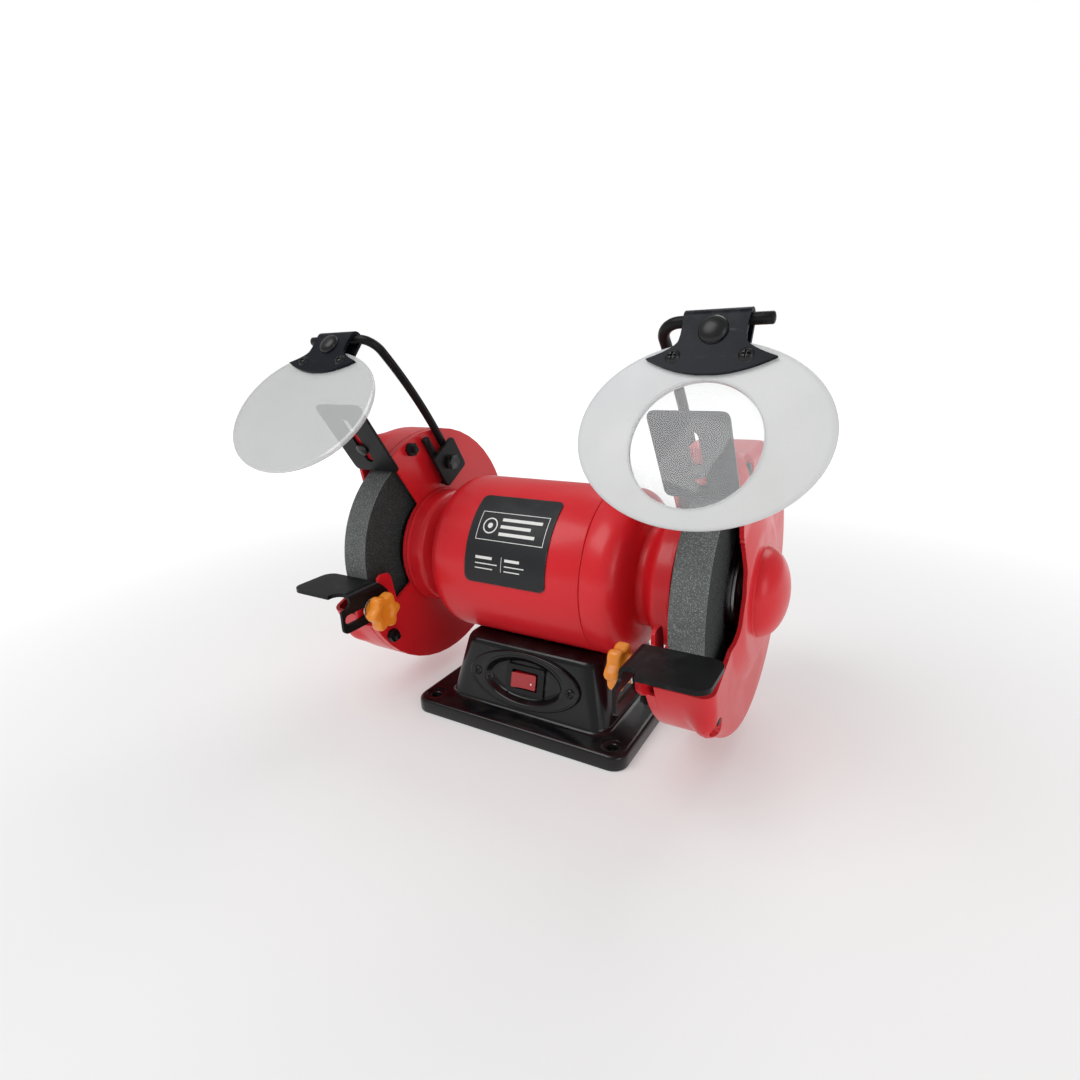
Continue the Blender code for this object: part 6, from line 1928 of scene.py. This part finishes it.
    def build_frosted(self, place: Place) -> None:
        """Frosted oval plate round a clear magnifier, which is a low turned dome."""
        size = self.magnifier_radius - 0.0006
        word = self.side.word
        inner = oval(size, size, 160) + (0.0, -self.magnifier_drop)
        piece(f"frosted_shield_{word}", skinned_in(place, self.sheet_rings(inner), closed=True),
              FROSTED_SHEET,
              f"shield_{word}", f"shield_lens_{word}", sharp=60.0)
        front = -(self.rod_radius + GAP)
        back = front + GAP + self.thickness
        edge, crown = front - 0.0008, 0.0016
        radius = self.magnifier_radius
        reach = np.linspace(0.0, 1.0, 18)
        rows = [(edge - crown * (1 - r ** 2), r * (radius - 0.0003)) for r in reach]
        rows += [(edge + 0.0002, radius), (front - 0.0001, radius), (front, radius - 0.0002),
                 (front, size - GAP),
                 (back - 0.0002, size - GAP), (back, size - 2 * GAP), (back, 0.0)]
        turn = np.linspace(0.0, TAU, 128, endpoint=False)
        rings = np.array([np.column_stack([r * np.cos(turn), np.full(128, depth),
                                           r * np.sin(turn) - self.magnifier_drop]) for depth, r in rows])
        piece("magnifier_disc", skinned_in(place, rings), MAGNIFIER_GLASS, f"shield_{word}",
              "magnifier_lens",
              sharp=50.0)


# ---------------------------------------------------------------- stage
@dataclass
class Studio:
    """Pale floor, soft lights and the camera."""

    camera_at: tuple[float, float, float] = (0.2172, -0.3787, 0.2562)
    azimuth: float = math.radians(31.15)
    pitch: float = math.radians(17.03)
    roll: float = math.radians(-2.3)
    lens: float = 21.27
    sensor: float = 36.0
    floor_radius: float = 30.0
    backdrop: float = 1.0
    ambient: float = 0.42
    glow_from: float = 0.25
    glow_to: float = 1.2
    near_glow: float = 0.30
    far_glow: float = 0.76

    def build(self) -> None:
        """Set up everything that is not the object."""
        self.build_camera()
        self.build_floor()
        self.build_world()
        self.soft_light("key_light", (-0.7, -1.1, 1.9), 1.3, 20.0)
        self.soft_light("fill_light", (1.7, -0.9, 0.8), 1.0, 7.0)
        self.soft_light("rim_light", (0.2, 1.5, 1.7), 1.2, 12.0)
        bpy.context.scene.view_settings.view_transform = "Standard"

    def build_camera(self) -> None:
        """Camera looking along the azimuth, pitched down and rolled a little."""
        data = bpy.data.cameras.new("view_camera")
        data.lens = self.lens
        data.sensor_width = self.sensor
        data.clip_start = 0.01
        data.clip_end = 100.0
        camera = bpy.data.objects.new("view_camera", data)
        bpy.context.scene.collection.objects.link(camera)
        a, e = self.azimuth, self.pitch
        ahead = np.array([-math.sin(a) * math.cos(e), math.cos(a) * math.cos(e), -math.sin(e)])
        right = np.array([math.cos(a), math.sin(a), 0.0])
        up = np.cross(right, ahead)
        turned_right = math.cos(self.roll) * right + math.sin(self.roll) * up
        turned_up = math.cos(self.roll) * up - math.sin(self.roll) * right
        pose = Matrix((turned_right, turned_up, -ahead)).transposed().to_4x4()
        pose.translation = self.camera_at
        camera.matrix_world = pose
        bpy.context.scene.camera = camera

    def build_floor(self) -> None:
        """Round pale floor, a fan of rings about the object, that glows more the farther out it is."""
        turn = np.linspace(0.0, TAU, 96, endpoint=False)
        radii = np.array([0.0, 0.3, 1.0, 4.0, self.floor_radius])
        rings = np.stack([radii[:, None] * np.cos(turn), radii[:, None] * np.sin(turn),
                          np.full((5, 96), -0.0002)], axis=-1)
        points = rings.reshape(-1, 3)
        mesh = bpy.data.meshes.new("pale_floor")
        mesh.from_pydata(points.tolist(), [], grid_faces(5, 96).tolist())
        tidy_mesh(mesh, 40.0)
        floor = bpy.data.objects.new("pale_floor", mesh)
        bpy.context.scene.collection.objects.link(floor)
        made = bpy.data.materials.new("pale_floor")
        made.use_nodes = True
        tree = made.node_tree
        shader = tree.nodes["Principled BSDF"]
        shader.inputs["Base Color"].default_value = (0.62, 0.62, 0.62, 1.0)
        shader.inputs["Roughness"].default_value = 0.9
        shader.inputs["Specular IOR Level"].default_value = 0.0
        shader.inputs["Emission Color"].default_value = (1.0, 1.0, 1.0, 1.0)
        place = add_node(tree, "ShaderNodeTexCoord")
        reach = add_node(tree, "ShaderNodeVectorMath", operation="LENGTH")
        glow = add_node(tree, "ShaderNodeMapRange", interpolation_type="SMOOTHSTEP", From_Min=self.glow_from,
                        From_Max=self.glow_to, To_Min=self.near_glow, To_Max=self.far_glow)
        tree.links.new(place.outputs["Object"], reach.inputs[0])
        tree.links.new(reach.outputs["Value"], glow.inputs["Value"])
        tree.links.new(glow.outputs["Result"], shader.inputs["Emission Strength"])
        floor.data.materials.append(made)

    def build_world(self) -> None:
        """White backdrop for the camera, and a dimmer even light on the object."""
        world = bpy.data.worlds.new("studio")
        bpy.context.scene.world = world
        world.use_nodes = True
        tree = world.node_tree
        seen = tree.nodes["Background"]
        seen.inputs["Color"].default_value = (1.0, 1.0, 1.0, 1.0)
        seen.inputs["Strength"].default_value = self.backdrop
        lit = add_node(tree, "ShaderNodeBackground", Color=(1.0, 1.0, 1.0, 1.0), Strength=self.ambient)
        ray = add_node(tree, "ShaderNodeLightPath")
        mix = add_node(tree, "ShaderNodeMixShader")
        out = tree.nodes["World Output"]
        tree.links.new(ray.outputs["Is Camera Ray"], mix.inputs["Fac"])
        tree.links.new(lit.outputs["Background"], mix.inputs[1])
        tree.links.new(seen.outputs["Background"], mix.inputs[2])
        tree.links.new(mix.outputs["Shader"], out.inputs["Surface"])

    def soft_light(self, name: str, at: tuple[float, float, float], size: float, power: float) -> None:
        """A square area light aimed at the middle of the object."""
        data = bpy.data.lights.new(name, "AREA")
        data.shape = "SQUARE"
        data.size = size
        data.energy = power
        light = bpy.data.objects.new(name, data)
        bpy.context.scene.collection.objects.link(light)
        middle = np.array(CAD_BOX).mean(axis=0)
        back = np.array(at) - middle
        back = back / np.linalg.norm(back)
        right = np.cross([0.0, 0.0, 1.0], back)
        right = right / np.linalg.norm(right)
        pose = Matrix((right, np.cross(back, right), back)).transposed().to_4x4()
        pose.translation = at
        light.matrix_world = pose


def main() -> None:
    """Build every sub-assembly in order."""
    logging.basicConfig(level=logging.INFO, format="%(message)s")
    Studio().build()
    Base().build()
    SwitchPanel().build()
    Motor().build()
    for side in Side:
        GrindingWheel(side).build()
        WheelGuard(side).build()
        ToolRest(side).build()
        EyeShield(side).build()


if __name__ == "__main__":
    main()
